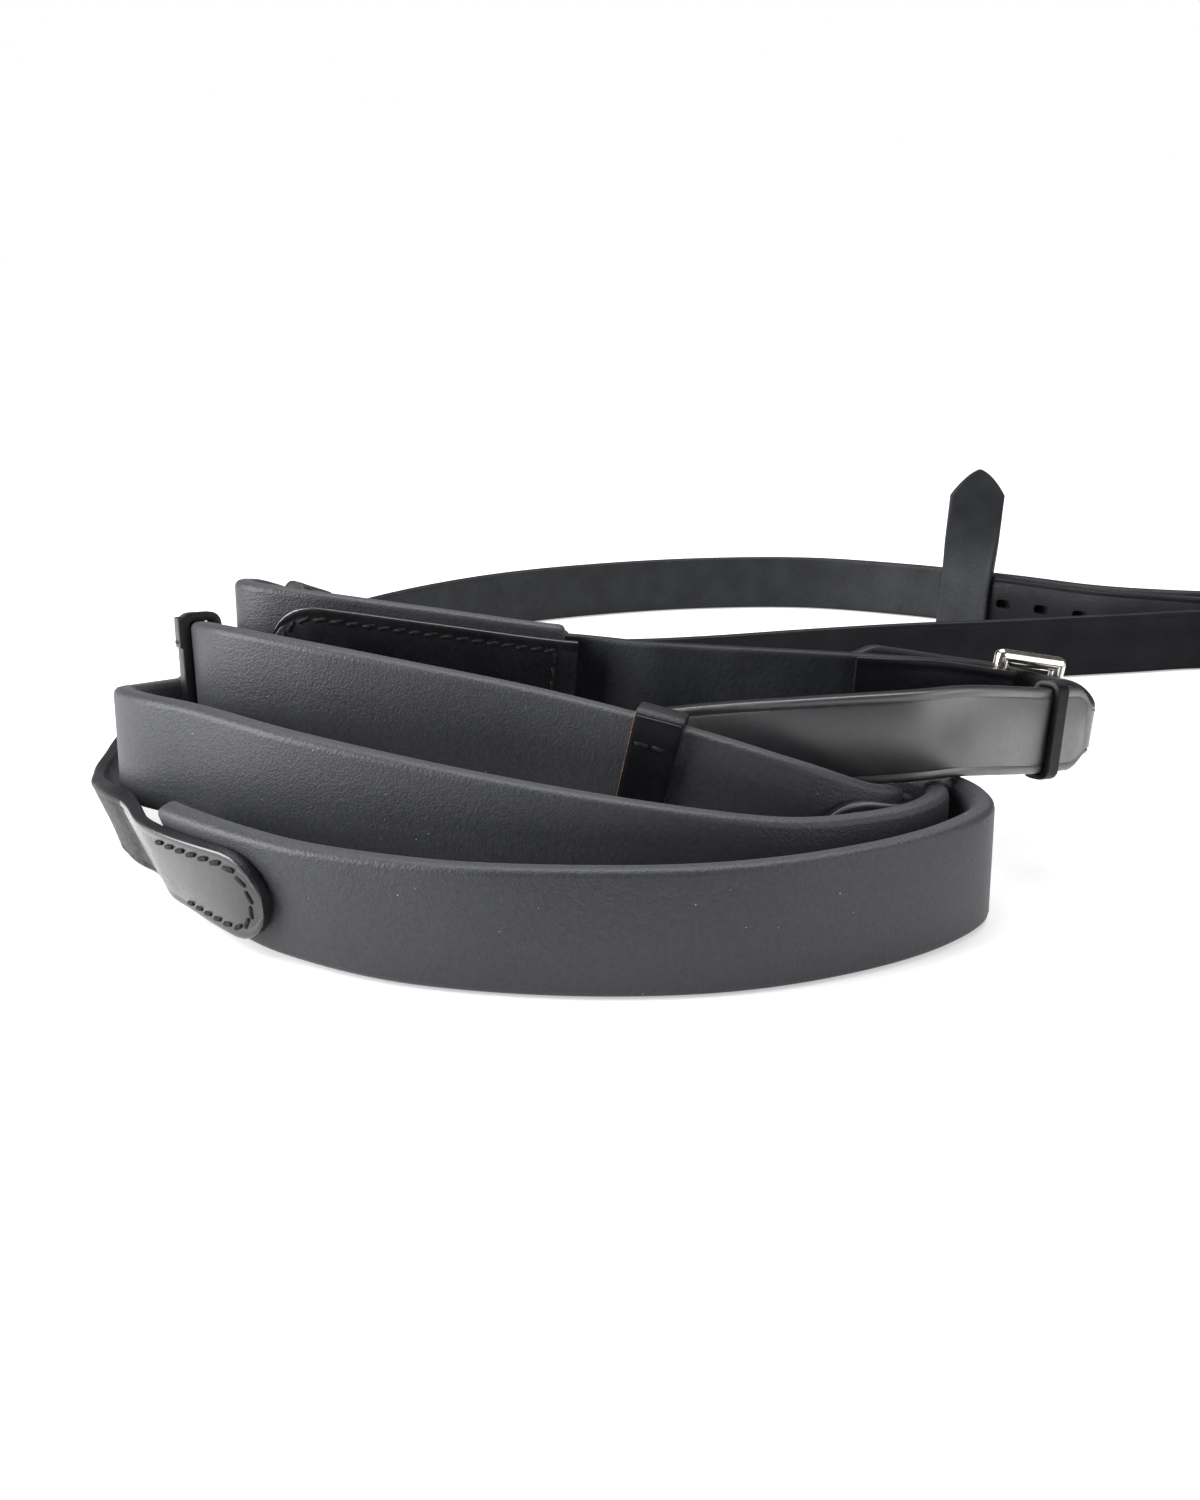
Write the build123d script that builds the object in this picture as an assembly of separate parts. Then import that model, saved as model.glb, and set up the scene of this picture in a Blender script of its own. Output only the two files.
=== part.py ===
from build123d import *
import os
from math import acos, asin, cos, pi, radians, sin, sqrt, tan

os.makedirs("parts", exist_ok=True)

# A pair of leather reins with soft rubber grips, buckled together at the hand end
# and coiled on a table. Rein A and rein B are the two halves. Each one runs from its
# bit end, round the coil, to the buckle in the middle. Straps stand on edge.
# All sizes are in millimetres. +Z is up and the table is Z = 0.

# ---- driving dimensions -----------------------------------------------------------
strap_width = 16.0          # leather, five eighths of an inch
strap_thick = 3.0
grip_width = 20.5
grip_thick = 4.0
grip_length = 552.5
cover_wall = 0.9            # rubber skin round the webbing core
core_clear = 0.1            # core to cover, all round
lay_gap = 0.25              # between leather and what it is stitched on

bit_tongue = 26.0           # how far the bit strap's tongue lies on the grip
hand_tongue = 55.0          # how far the hand strap's tongue lies on the grip
tongue_thick = 2.2          # tongues are skived thinner than the strap
patch_thick = 1.5           # liner on the other face of each joint
patch_tail = 3.0            # how far a patch runs on past the hand end of the grip
bit_patch_tail = 3.0        # the same at the bit end
skive_run = 18.0            # length over which a strap steps out onto the grip

stop_pitch = 94.0           # hand stop to hand stop
stop_from_end = 83.5        # last hand stop to the hand end of the grip
stop_length = 8.0
stop_wall = 1.4
stop_clear = 0.35

bit_loop_r = 5.0            # inside radius of the fold that holds the bit ring
billet_thick = 2.6
billet_gap = 0.15           # billet to strap at the fold, a living hinge
billet_a_length = 106.0
slot_length = 5.0
slot_height = 2.6
slot_pitch = 13.0
slot_count = 3
point_length = 9.0          # tapered tip of a billet
tip_height = 39.4           # free end of billet B, folded upright

stud_from_fold = 62.0
stud_shank_r = 1.6
stud_clear = 0.1
stud_head_r = 3.4
stud_head_thick = 0.9
stud_neck = 2.4
stud_nose = 6.0
stud_nose_thick = 1.6

keeper_length = 9.0
keeper_wall = 1.3
keeper_clear = 0.35
fixed_keeper_at = 16.0      # from the fold
running_keeper_at = 38.0
hand_keeper_length = 4.0
hand_keeper_at = 12.0       # back from the end of the creased strap

bar_r = 1.5                 # buckle wire
buckle_window = 17.4        # inside height of the buckle
buckle_length = 12.5        # heel bar to toe bar
chape_thick = 1.8
chape_clear = 0.15
chape_length = 26.0
chape_run = 12.0            # length over which the strap thins to the chape
chape_slot = 3.4
pass_clear = 0.6           # rein B to the buckle's bars
billet_hand_thick = 2.6
prong_r = 1.0
prong_eye_clear = 0.08
prong_eye_wall = 1.05
prong_hole = 6.4
tail_length = 30.0          # rein B's end past the buckle

# ---- how the straps lie: X, Y, height of the middle of the strap, lean ---------------
MIDDLE = (91.2, 157.8)      # middle of the whole layout, moved to X = 0, Y = 0
# Lean is in degrees, with the top edge outwards. The first points are at the bit ends.
LAY_B = [
    (240, 243.5, 9.7, 0), (225, 243.5, 9.7, 0), (210, 243.5, 9.7, 0), (194, 243.5, 9.7, 0),
    (170, 248, 9.4, 0), (146, 261, 8.6, 0), (124, 283, 8.1, 0), (96, 302.5, 8.1, 0),
    (66, 315, 8.1, 0), (33, 314, 8.1, 0), (0, 303.5, 8.1, 0), (-31, 285, 8.1, 0),
    (-60, 252, 8.1, 0), (-82, 206, 8.1, 0), (-94, 158, 8.1, 0), (-96.17, 115, 8.1, 0),
    (-94.5, 85, 8.3, 4), (-91.9, 71, 8.4, 16), (-89, 61.8, 9.2, 22), (-82.6, 48.7, 11.2, 22),
    (-75, 38.8, 12.4, 21.5), (-69, 30.6, 12.4, 21), (-51.2, 14.1, 11.2, 10), (-28, 3.5, 10.6, 4),
    (0, 0, 10.4, 0),
    (22, 2.5, 10.33, 0), (42, 11, 10.3, 0), (56, 21.5, 10.3, 0), (64, 32.5, 10.3, 0),
    (64.3, 43.5, 10.3, 0), (59.5, 53.5, 10.3, 0), (49, 65, 10.3, 0), (33, 79, 10.3, 0),
    (6, 101, 11.5, 0), (-24, 117, 14.5, 0), (-54, 118.5, 19, 0), (-72, 107.5, 24.5, 0),
    (-77.2, 91.5, 28.5, 0), (-74.6, 73, 33.2, 0), (-67, 58.5, 35.4, 0), (-52, 50, 34.5, 2),
    (-34, 44.5, 32.2, 3), (-10, 39.5, 28.3, 3), (14, 34.5, 23, 2), (31, 33, 17.8, 1),
    (43.2, 36.4, 12.8, 0), (50.2, 43, 10.4, 0), (46.6, 49, 10.4, 0), (33.5, 55.5, 10.4, 0),
    (0, 66, 10.4, 0), (-30, 71, 10.6, 0), (-52, 71.5, 11.4, 0), (-61, 64, 12.5, 0),
    (-54, 56.5, 14, 0), (-30, 54, 17.5, 0), (0, 50.5, 23, 0), (18, 47, 26.1, 0),
    (36, 43.5, 28.3, 0), (54, 43.5, 29.5, 0), (62, 47.5, 29.2, 0), (70, 54.5, 27.5, 0),
    (80, 65.5, 24.6, 0), (88.7, 74.2, 22.8, 0),
]
LAY_A = [
    (130, 30, 9.7, 0), (148, 30, 9.7, 0), (166, 30, 9.7, 0), (184, 30, 9.7, 0),
    (206, 31, 9.4, 0), (236, 40, 8.6, 0), (264, 64, 8.1, 0), (277, 98, 8.1, 0),
    (277, 134, 8.1, 0), (263, 170, 8.1, 0), (238, 199, 8.1, 0), (208, 218, 8.1, 0),
    (184, 225, 8.1, 0), (164, 226.5, 8.1, 0), (143, 221.5, 8.1, 0), (106, 213, 8.1, 0),
    (80, 208, 8.1, 0), (52, 200, 8.1, 0), (27, 191.3, 8.2, 0), (9, 184.7, 8.8, 0),
    (-8, 178.2, 10.45, 0),
    (-34, 165, 10.3, 0), (-62, 140, 11.8, 0), (-78, 110, 15.2, 0), (-84, 86, 19, 0),
    (-86.3, 72, 21.4, 0), (-86, 61.5, 23.4, 0), (-80.4, 51.8, 24.6, 0), (-69.2, 42.8, 24.9, 2),
    (-50, 29.5, 23.6, 4), (-22, 19.5, 20, 4), (7, 15.5, 15.8, 3), (29, 18.5, 12.2, 1),
    (43, 25.5, 10.8, 0), (54, 34, 10.4, 0), (58.3, 43, 10.4, 0), (54.5, 51.5, 10.4, 0),
    (43, 61, 11.4, 0), (32, 66.4, 12.2, 0), (21.6, 71.6, 12.76, 0), (8.6, 79.1, 11.4, 0),
    (-4, 89.5, 11.6, 0),
    (-22, 102, 20, 0), (-46, 107, 27, 0), (-61, 106.5, 32, 0), (-69, 98.5, 36.6, 0),
    (-68, 89, 38, 0), (-56, 83.5, 37.2, 0), (-36, 82.5, 34.5, 0), (-8, 84, 30.4, 0),
    (14, 81.5, 29.6, 0), (39, 76.5, 29.3, 0), (55, 76.5, 28.3, 0), (64, 79.5, 27, 0),
    (72.3, 82, 25.3, 0),
]
# Billet B lies loose beside its own rein, from its fold to the corner at its tip.
BILLET_B = [
    (240, 230.5, 9.7, 0), (224, 230.5, 9.7, 0), (208, 231, 9.7, 0), (190, 232.8, 9.6, 0),
    (175, 237.4, 9.2, 0), (160, 246, 8.8, 0), (143, 257.8, 8.3, 0), (121, 279.6, 8.1, 0),
    (105, 291, 8.1, 0),
]
SAMPLES = 10                # samples between two of the points above
MAX_RUN = 12.0              # longest flat facet along a strap
MAX_TURN = radians(13)      # largest turn from one facet to the next
SKIVE_STEPS = (0.0, 0.25, 0.5, 0.75, 1.0)


class Station:
    """A place on a strap: its middle, its direction, its outward face and its top edge."""

    def __init__(self, middle, along, out, top):
        self.middle, self.along, self.out, self.top = middle, along, out, top

    def point(self, along=0.0, out=0.0, top=0.0):
        return self.middle + self.along * along + self.out * out + self.top * top

    def plane(self, out=0.0, top=0.0, along=0.0):
        return Plane(self.point(along, out, top), x_dir=self.out, z_dir=self.along)


def station(middle, along, lean=0.0):
    """Stand the strap on edge at a point, leaning its top outwards."""
    level_out = along.cross(Vector(0, 0, 1)).normalized()
    upright = level_out.cross(along)
    out = level_out * cos(radians(lean)) - upright * sin(radians(lean))
    return Station(middle, along, out, out.cross(along))


def ease(x):
    """Smooth step from 0 to 1."""
    x = min(max(x, 0.0), 1.0)
    return x * x * (3 - 2 * x)


class Lay:
    """A strap's lay: a smooth curve through its points, cut into short flat facets.

    Everything on one strap is built on the same facets, so that layers stay parallel.
    """

    def __init__(self, points):
        rows = [Vector(p[0] - MIDDLE[0], p[1] - MIDDLE[1], p[2]) for p in points]
        leans = [p[3] for p in points]
        rows = [rows[0] * 2 - rows[1], *rows, rows[-1] * 2 - rows[-2]]
        leans = [leans[0], *leans, leans[-1]]
        smooth, tilt = [], []
        for i in range(1, len(rows) - 2):
            for k in range(SAMPLES):
                share = k / SAMPLES
                smooth.append(self.between(rows[i - 1:i + 3], share))
                tilt.append(leans[i] + (leans[i + 1] - leans[i]) * ease(share))
        smooth.append(rows[-2])
        tilt.append(leans[-2])
        self.marks, self.stations = [], []
        run, last_along = 0.0, None
        for i, middle in enumerate(smooth):
            ahead = smooth[min(i + 1, len(smooth) - 1)]
            behind = smooth[max(i - 1, 0)]
            along = (ahead - behind).normalized()
            run += (middle - behind).length
            gap = run - self.marks[-1] if self.marks else MAX_RUN
            turn = acos(min(1.0, last_along.dot(along))) if last_along else 0.0
            step = (ahead - middle).length
            full = gap + step > MAX_RUN or turn > MAX_TURN * 0.7
            if not self.marks or full or i == len(smooth) - 1:
                self.marks.append(run)
                self.stations.append(station(middle, along, tilt[i]))
                last_along = along
        self.length = self.marks[-1]

    @staticmethod
    def between(p, share):
        """Centripetal Catmull-Rom curve from p[1] to p[2]."""
        t = [0.0]
        for a, b in zip(p, p[1:]):
            t.append(t[-1] + max((b - a).length, 1e-6) ** 0.5)
        x = t[1] + (t[2] - t[1]) * share

        def mix(a, b, ta, tb):
            return a * ((tb - x) / (tb - ta)) + b * ((x - ta) / (tb - ta))

        a1, a2, a3 = (mix(p[i], p[i + 1], t[i], t[i + 1]) for i in range(3))
        return mix(mix(a1, a2, t[0], t[2]), mix(a2, a3, t[1], t[3]), t[1], t[2])

    def facet(self, s):
        return min(max(sum(m <= s for m in self.marks) - 1, 0), len(self.marks) - 2)

    def at(self, s):
        """The station at a length, on the facet that it falls in."""
        i = self.facet(s)
        a, b = self.stations[i], self.stations[i + 1]
        share = (s - self.marks[i]) / (self.marks[i + 1] - self.marks[i])
        return Station(*(
            p * (1 - share) + q * share
            for p, q in ((a.middle, b.middle), (a.along, b.along), (a.out, b.out), (a.top, b.top))
        ))

    def flat(self, s):
        """The station in the middle of the facet that a length falls in, squared to it."""
        i = self.facet(s)
        a, b = self.stations[i], self.stations[i + 1]
        along = (b.middle - a.middle).normalized()
        top = (a.top + b.top).normalized()
        out = along.cross(top).normalized()
        return Station((a.middle + b.middle) * 0.5, along, out, out.cross(along))

    def nearest(self, x, y, after=0.0):
        """Length along the strap where it passes closest to a point on the table."""
        steps = [after + k * 0.5 for k in range(int((self.length - after) * 2))]

        def away(s):
            middle = self.at(s).middle
            return (middle - Vector(x - MIDDLE[0], y - MIDDLE[1], middle.Z)).length

        return min(steps, key=away)

    def marks_between(self, start, end, extra=()):
        """The facet ends in a stretch, with the lengths where a piece changes shape."""
        wanted = [*extra, *self.marks]
        inside = []
        for m in sorted((w for w in wanted if start + 0.3 < w < end - 0.3)):
            if not inside or m - inside[-1] > 0.2:
                inside.append(m)
        return [start, *inside, end]


def ribbon(stations, widths, thicks, offsets):
    """A strap through rectangular sections, each with its own width, thickness and offset."""
    sections = []
    for place, width, thick, offset in zip(stations, widths, thicks, offsets):
        corners = [
            place.point(out=offset + side * thick / 2, top=edge * width / 2)
            for side, edge in ((-1, -1), (1, -1), (1, 1), (-1, 1))
        ]
        sections.append(Wire.make_polygon(corners, close=True))
    return Solid.make_loft(sections, ruled=True)


def along_lay(lay, start, end, width, thick, offset=0.0, extra=()):
    """A strap along part of a lay. Width, thickness and offset are sizes or functions of length."""
    marks = lay.marks_between(start, end, extra)

    def each(size):
        return [size(m) if callable(size) else size for m in marks]

    return ribbon([lay.at(m) for m in marks], each(width), each(thick), each(offset))


def round_tip(tip, width):
    """Width near a tongue's round tip, and the lengths where its facets go."""
    r = width / 2
    steps = [0.0, 0.06 * r, 0.2 * r, 0.45 * r, r]

    def size(s):
        inside = min(max(abs(s - tip), 0.04 * r), r)
        return 2 * sqrt(r * r - (r - inside) ** 2)

    return size, steps


def cut_box(place, along, out, top, at_out=0.0, at_top=0.0, at_along=0.0):
    """A box with its sides along, out of and up the strap."""
    return place.plane(at_out, at_top, at_along) * Box(out, top, along)


def cylinder_along(start, end, radius):
    axis = end - start
    return Plane(start, z_dir=axis) * Cylinder(
        radius, axis.length, align=(Align.CENTER, Align.CENTER, Align.MIN)
    )


def as_solid(shape):
    solids = shape.solids() if not isinstance(shape, Solid) else [shape]
    assert len(solids) == 1, f"expected one solid, found {len(solids)}"
    return solids[0]


# ---- places along each rein, from its bit end ------------------------------------------
lay_a = Lay(LAY_A)
lay_b = Lay(LAY_B)
# Rein B's tongue ends at the front left of the coil; rein A's hand patch starts at its top left.
grip_start_b = lay_b.nearest(-50.5, 13.7, after=300) - bit_tongue
grip_end_b = grip_start_b + grip_length
grip_end_a = lay_a.nearest(-62, 84, after=900) + hand_tongue
grip_start_a = grip_end_a - grip_length

REINS = {
    # name: lay, grip start, grip end, side that the fold and the stud are on, right side
    "a": (lay_a, grip_start_a, grip_end_a, 1, -1),
    "b": (lay_b, grip_start_b, grip_end_b, -1, 1),
}
inner_width = grip_width - 2 * cover_wall
inner_thick = grip_thick - 2 * cover_wall
tongue_offset = grip_thick / 2 + lay_gap + tongue_thick / 2
patch_offset = grip_thick / 2 + lay_gap + patch_thick / 2
fold_middle_r = bit_loop_r + strap_thick / 2
chape_middle = bar_r + chape_clear + chape_thick / 2


def bit_fold(lay, side):
    """Half ring of leather at the bit end, round the place of the bit ring."""
    first = lay.at(0.0)
    foot = first.point(out=side * fold_middle_r, top=-strap_width / 2)
    head = first.point(out=side * fold_middle_r, top=strap_width / 2)
    outer_r = bit_loop_r + strap_thick
    ring = cylinder_along(foot, head, outer_r) - cylinder_along(foot, head, bit_loop_r)
    reach = 3 * outer_r
    return ring & cut_box(
        first, reach, 4 * outer_r, 2 * strap_width, at_out=side * fold_middle_r, at_along=-reach / 2
    )


def billet_root(lay, side):
    """Where a billet starts, at the far leg of the fold, heading back along the strap."""
    first = lay.at(0.0)
    start = first.point(along=billet_thick / 2 + billet_gap, out=side * 2 * fold_middle_r)
    return Station(start, first.along, first.out, first.top)


def grip_cover(lay, start, end):
    outside = along_lay(lay, start, end, grip_width, grip_thick)
    inside = along_lay(lay, start - 1, end + 1, inner_width, inner_thick)
    return as_solid(outside - inside)


def grip_core(lay, start, end):
    return along_lay(lay, start, end, inner_width - 2 * core_clear, inner_thick - 2 * core_clear)


def hand_stop(lay, s):
    """Leather band stitched round the grip for the fingers to rest against."""
    half = stop_length / 2
    wide, thick = grip_width + 2 * stop_clear, grip_thick + 2 * stop_clear
    band = along_lay(lay, s - half, s + half, wide + 2 * stop_wall, thick + 2 * stop_wall, extra=(s,))
    hole = along_lay(lay, s - half - 1, s + half + 1, wide, thick, extra=(s,))
    return as_solid(band - hole)


def keeper(lay, s, length, room, side=0, width=strap_width):
    """Leather loop round a strap, with room beside the strap for a second layer."""
    place = lay.flat(s)
    tall = width + 2 * keeper_clear
    deep = strap_thick + 2 * keeper_clear + room
    middle = side * room / 2
    outer = cut_box(place, length, deep + 2 * keeper_wall, tall + 2 * keeper_wall, at_out=middle)
    outer = fillet(outer.edges().filter_by(Axis(place.middle, place.along)), keeper_wall)
    return as_solid(outer - cut_box(place, length + 2, deep, tall, at_out=middle))


def bit_patch(lay, start, right_side):
    """Liner on the wrong face of the joint at the bit end of the grip."""
    size, steps = round_tip(start + bit_tongue, strap_width)
    tips = [start + bit_tongue - step for step in steps]
    return along_lay(
        lay, start - bit_patch_tail, start + bit_tongue, size, patch_thick, -right_side * patch_offset, tips
    )


def hand_patch(lay, end, right_side):
    size, steps = round_tip(end - hand_tongue, strap_width)
    tips = [end - hand_tongue + step for step in steps]
    return along_lay(
        lay, end - hand_tongue, end + patch_tail, size, patch_thick, -right_side * patch_offset, tips
    )


def step_onto_grip(s, grip_edge, outward):
    """0 on the plain strap, 1 where it lies on the grip. Outward is the way off the grip."""
    return 1 - ease(((s - grip_edge) * outward - 2.0) / skive_run)


def bit_strap(lay, grip_start, side, right_side):
    """Strap from the bit fold to its tongue on the grip, in one piece of leather."""
    tip = grip_start + bit_tongue
    size, steps = round_tip(tip, strap_width)
    skives = [grip_start - 2.0 - skive_run * share for share in SKIVE_STEPS]
    marks = lay.marks_between(0.0, tip, [*skives, *(tip - step for step in steps)])
    shares = [step_onto_grip(m, grip_start, -1) for m in marks]
    thicks = [strap_thick + (tongue_thick - strap_thick) * f for f in shares]
    offsets = [right_side * tongue_offset * f for f in shares]
    strap = ribbon([lay.at(m) for m in marks], [size(m) for m in marks], thicks, offsets)
    strap = strap + bit_fold(lay, side)
    stud_hole = stud_place(lay)
    reach = strap_thick
    return as_solid(strap - cylinder_along(
        stud_hole.point(out=-reach), stud_hole.point(out=reach), stud_shank_r + stud_clear
    ))


def stud_place(lay):
    """The stud sits in the middle of a flat facet."""
    return lay.flat(stud_from_fold)


def hook_stud(lay, side):
    """Shank through the strap, a flange on its face and a hooked nose pointing to the fold."""
    place = stud_place(lay)
    face = side * (strap_thick / 2 + lay_gap)
    back = -side * (strap_thick / 2 + lay_gap)
    flange_top = face + side * stud_head_thick
    nose_base = flange_top + side * stud_neck
    shank = cylinder_along(place.point(out=back), place.point(out=nose_base + side * 0.5), stud_shank_r)
    flange = cylinder_along(place.point(out=face), place.point(out=flange_top), stud_head_r)
    nose = cut_box(
        place, stud_nose, stud_nose_thick, 2 * stud_shank_r,
        at_out=nose_base + side * stud_nose_thick / 2, at_along=-stud_nose / 2 + stud_shank_r,
    )
    return as_solid(shank + flange + nose)


def stud_burr(lay, side):
    """Domed rivet head that closes the stud on the strap's other face."""
    place = stud_place(lay)
    back = -side * (strap_thick / 2 + lay_gap)
    rim = cylinder_along(place.point(out=back), place.point(out=back - side * stud_head_thick), stud_head_r)
    crown = cylinder_along(
        place.point(out=back), place.point(out=back - side * 1.4 * stud_head_thick), 0.6 * stud_head_r
    )
    return as_solid(rim + crown)


def pointed(width, end, length):
    """Width along a billet that tapers to a blunt point at its end."""

    def size(s):
        share = min(max((end - s) / length, 0.0), 1.0)
        return width * (0.3 + 0.7 * sin(pi / 2 * share))

    return size, [end - length * share for share in (0.85, 0.6, 0.35, 0.15)]


def slotted(billet, places):
    for place in places:
        hole = cut_box(place, slot_length, 4 * billet_thick, slot_height)
        billet = billet - hole
    return billet


def rounded_root(place, thick, width):
    """Half-round end of a billet at its hinge."""
    return cylinder_along(place.point(top=-width / 2), place.point(top=width / 2), thick / 2)


def billet_a():
    root = billet_root(lay_a, 1)
    size, steps = pointed(strap_width, billet_a_length, point_length)
    marks = sorted([0.0, 0.5 * billet_a_length, billet_a_length - point_length, billet_a_length, *steps])
    places = [Station(root.point(along=m), root.along, root.out, root.top) for m in marks]
    leg = ribbon(places, [size(m) for m in marks], [billet_thick] * len(marks), [0.0] * len(marks))
    first_slot = billet_a_length - 2.6 * point_length
    slots = [
        Station(root.point(along=first_slot - i * slot_pitch), root.along, root.out, root.top)
        for i in range(slot_count)
    ]
    return as_solid(slotted(leg + rounded_root(root, billet_thick, strap_width), slots))


def billet_b():
    """Loose billet with its free end folded upright at the corner."""
    lay = Lay(BILLET_B)
    start = billet_thick / 2 + billet_gap
    marks = lay.marks_between(start, lay.length)
    count = len(marks)
    leg = ribbon([lay.at(m) for m in marks], [strap_width] * count, [billet_thick] * count, [0.0] * count)
    root = billet_root(lay_b, -1)
    corner = lay.at(lay.length - strap_width / 2)
    front = corner.point(out=-(billet_thick - 0.2), top=-strap_width / 2)
    size, steps = pointed(strap_width, tip_height + strap_width / 2, point_length)
    heights = sorted([0.0, strap_width, strap_width + 8, tip_height + strap_width / 2, *steps])
    heights = [h for i, h in enumerate(heights) if i == 0 or h - heights[i - 1] > 0.25]
    level = Vector(corner.along.X, corner.along.Y, 0).normalized()
    swing = asin(level.Y)
    places = []
    for h in heights:
        turn = swing * (1 - 0.85 * ease((h - strap_width) / 20))
        across = Vector(cos(pi - turn), sin(pi - turn), 0)
        rise = Vector(sin(radians(4)) * ease(h / 20), 0, 1).normalized()
        facing = across.cross(rise).normalized()
        places.append(Station(front + rise * h, rise, facing, across))
    tip = ribbon(places, [size(h) for h in heights], [billet_thick] * len(heights), [0.0] * len(heights))
    slots = [lay.at(lay.length - strap_width - 5 - i * slot_pitch) for i in range(slot_count)]
    return as_solid(slotted(leg + rounded_root(root, billet_thick, strap_width) + tip, slots))


# ---- centre buckle: built round the heel bar, just past the end of rein A -------------
end_a = lay_a.at(lay_a.length)
heel = Station(end_a.point(along=bar_r + chape_clear + chape_thick), end_a.along, end_a.out, end_a.top)
side_bar = buckle_window / 2 + bar_r
under_toe = bar_r + pass_clear + billet_hand_thick / 2
over_heel = chape_middle + chape_thick / 2 + pass_clear + billet_hand_thick / 2


def hand_strap_a():
    """Rein A's hand part: tongue on the grip, strap, then the chape round the heel bar."""
    grip_edge = grip_end_a
    tip = grip_edge - hand_tongue
    right_side = REINS["a"][4]
    size, steps = round_tip(tip, strap_width)
    last = lay_a.length
    skives = [grip_edge + 2.0 + skive_run * share for share in SKIVE_STEPS]
    thinning = [last - chape_run * share for share in SKIVE_STEPS]
    marks = lay_a.marks_between(tip, last, [*skives, *thinning, *(tip + step for step in steps)])
    places, widths, thicks, offsets = [], [], [], []
    for m in marks:
        on_grip = step_onto_grip(m, grip_edge, 1)
        on_bar = ease((m - last + chape_run) / chape_run)
        places.append(lay_a.at(m))
        widths.append(size(m))
        thicks.append(
            strap_thick + (tongue_thick - strap_thick) * on_grip + (chape_thick - strap_thick) * on_bar
        )
        offsets.append(right_side * tongue_offset * on_grip - chape_middle * on_bar)
    for step in range(9):
        angle = pi * step / 8
        out = heel.along * -sin(angle) + heel.out * cos(angle)
        along = heel.along * cos(angle) + heel.out * sin(angle)
        places.append(Station(heel.middle - out * chape_middle, along, out, heel.top))
        widths.append(strap_width)
        thicks.append(chape_thick)
        offsets.append(0.0)
    back_marks = [last - chape_length * share for share in (0.0, 0.15, 0.3, 0.45, 0.7, 1.0)]
    for m in back_marks:
        ahead = lay_a.at(m)
        lies = chape_middle + (strap_thick / 2 + lay_gap + chape_thick / 2 - chape_middle) * ease(
            (last - m) / chape_run
        )
        places.append(Station(ahead.point(out=lies), ahead.along * -1, ahead.out * -1, ahead.top))
        widths.append(strap_width)
        thicks.append(chape_thick)
        offsets.append(0.0)
    strap = ribbon(places, widths, thicks, offsets)
    eye_reach = bar_r + prong_eye_clear + prong_eye_wall + 0.5
    slot = cut_box(
        heel, eye_reach + chape_middle + chape_thick, 3 * chape_middle, chape_slot,
        at_along=(chape_middle + chape_thick - eye_reach) / 2,
    )
    return as_solid(strap - slot)


def buckle_frame():
    """Rectangle of round wire with soft corners."""
    corners = [
        heel.point(along=x, top=z)
        for x, z in ((0, side_bar), (0, -side_bar), (buckle_length, -side_bar), (buckle_length, side_bar))
    ]
    frame = None
    for i, corner in enumerate(corners):
        bar = cylinder_along(corner, corners[(i + 1) % 4], bar_r) + Pos(*corner) * Sphere(bar_r)
        frame = bar if frame is None else frame + bar
    return as_solid(frame)


def prong_line():
    """Where the prong's shaft starts at its eye and where it ends, past the toe bar."""
    start_along, start_out = bar_r + 0.4, -0.9
    slope = (bar_r + prong_r + 0.12 + start_out) / (buckle_length - start_along)
    reach = buckle_length + 1.6 - start_along
    return (start_along, start_out), (start_along + reach, start_out - slope * reach)


def buckle_prong():
    """Prong with an eye round the heel bar. Its point rests on the toe bar's far face."""
    eye_r = bar_r + prong_eye_clear + prong_eye_wall
    half = chape_slot / 2 - 0.3
    eye = cylinder_along(heel.point(top=-half), heel.point(top=half), eye_r)
    start, end = (heel.point(along=a, out=o) for a, o in prong_line())
    bore = cylinder_along(heel.point(top=-2 * half), heel.point(top=2 * half), bar_r + prong_eye_clear)
    return as_solid(eye + cylinder_along(start, end, prong_r) + Pos(*end) * Sphere(prong_r) - bore)


def buckle_pass():
    """Rein B's way round the hairpin and through the buckle, on the heel's own axes.

    It is a list of (along, out, heading) with the heading in radians. The strap comes back
    in front of the toe bar, crosses the window and lies behind the heel bar.
    """
    end = lay_b.at(lay_b.length)
    gone = end.middle - heel.middle
    start_along, start_out = gone.dot(heel.along), gone.dot(heel.out)
    dip = asin(max(0.1, -end.along.dot(heel.out)))
    turn_at = buckle_length + 0.2
    space = start_out - under_toe - tan(dip) * (turn_at - start_along)
    turn_r = space / (1 + 1 / cos(dip))
    lead = (turn_at - start_along + turn_r * sin(dip)) / cos(dip)
    steps = [(start_along + lead * cos(dip), start_out - lead * sin(dip), -dip)]
    centre = (turn_at, under_toe + turn_r)
    for k in range(1, 13):
        heading = -dip - (pi - dip) * k / 12
        steps.append((centre[0] - turn_r * sin(heading), centre[1] + turn_r * cos(heading), heading))
    cross = asin((under_toe + over_heel) / buckle_length)
    for k in range(1, 4):
        angle = cross * k / 3
        steps.append((buckle_length - under_toe * sin(angle), under_toe * cos(angle), -pi + angle))
    for k in range(4):
        angle = cross * (1 - k / 3)
        steps.append((over_heel * sin(angle), -over_heel * cos(angle), -pi + angle))
    for reach in (0.34, 0.67, 1.0):
        steps.append((-tail_length * reach, -over_heel, -pi))
    return steps


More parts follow.
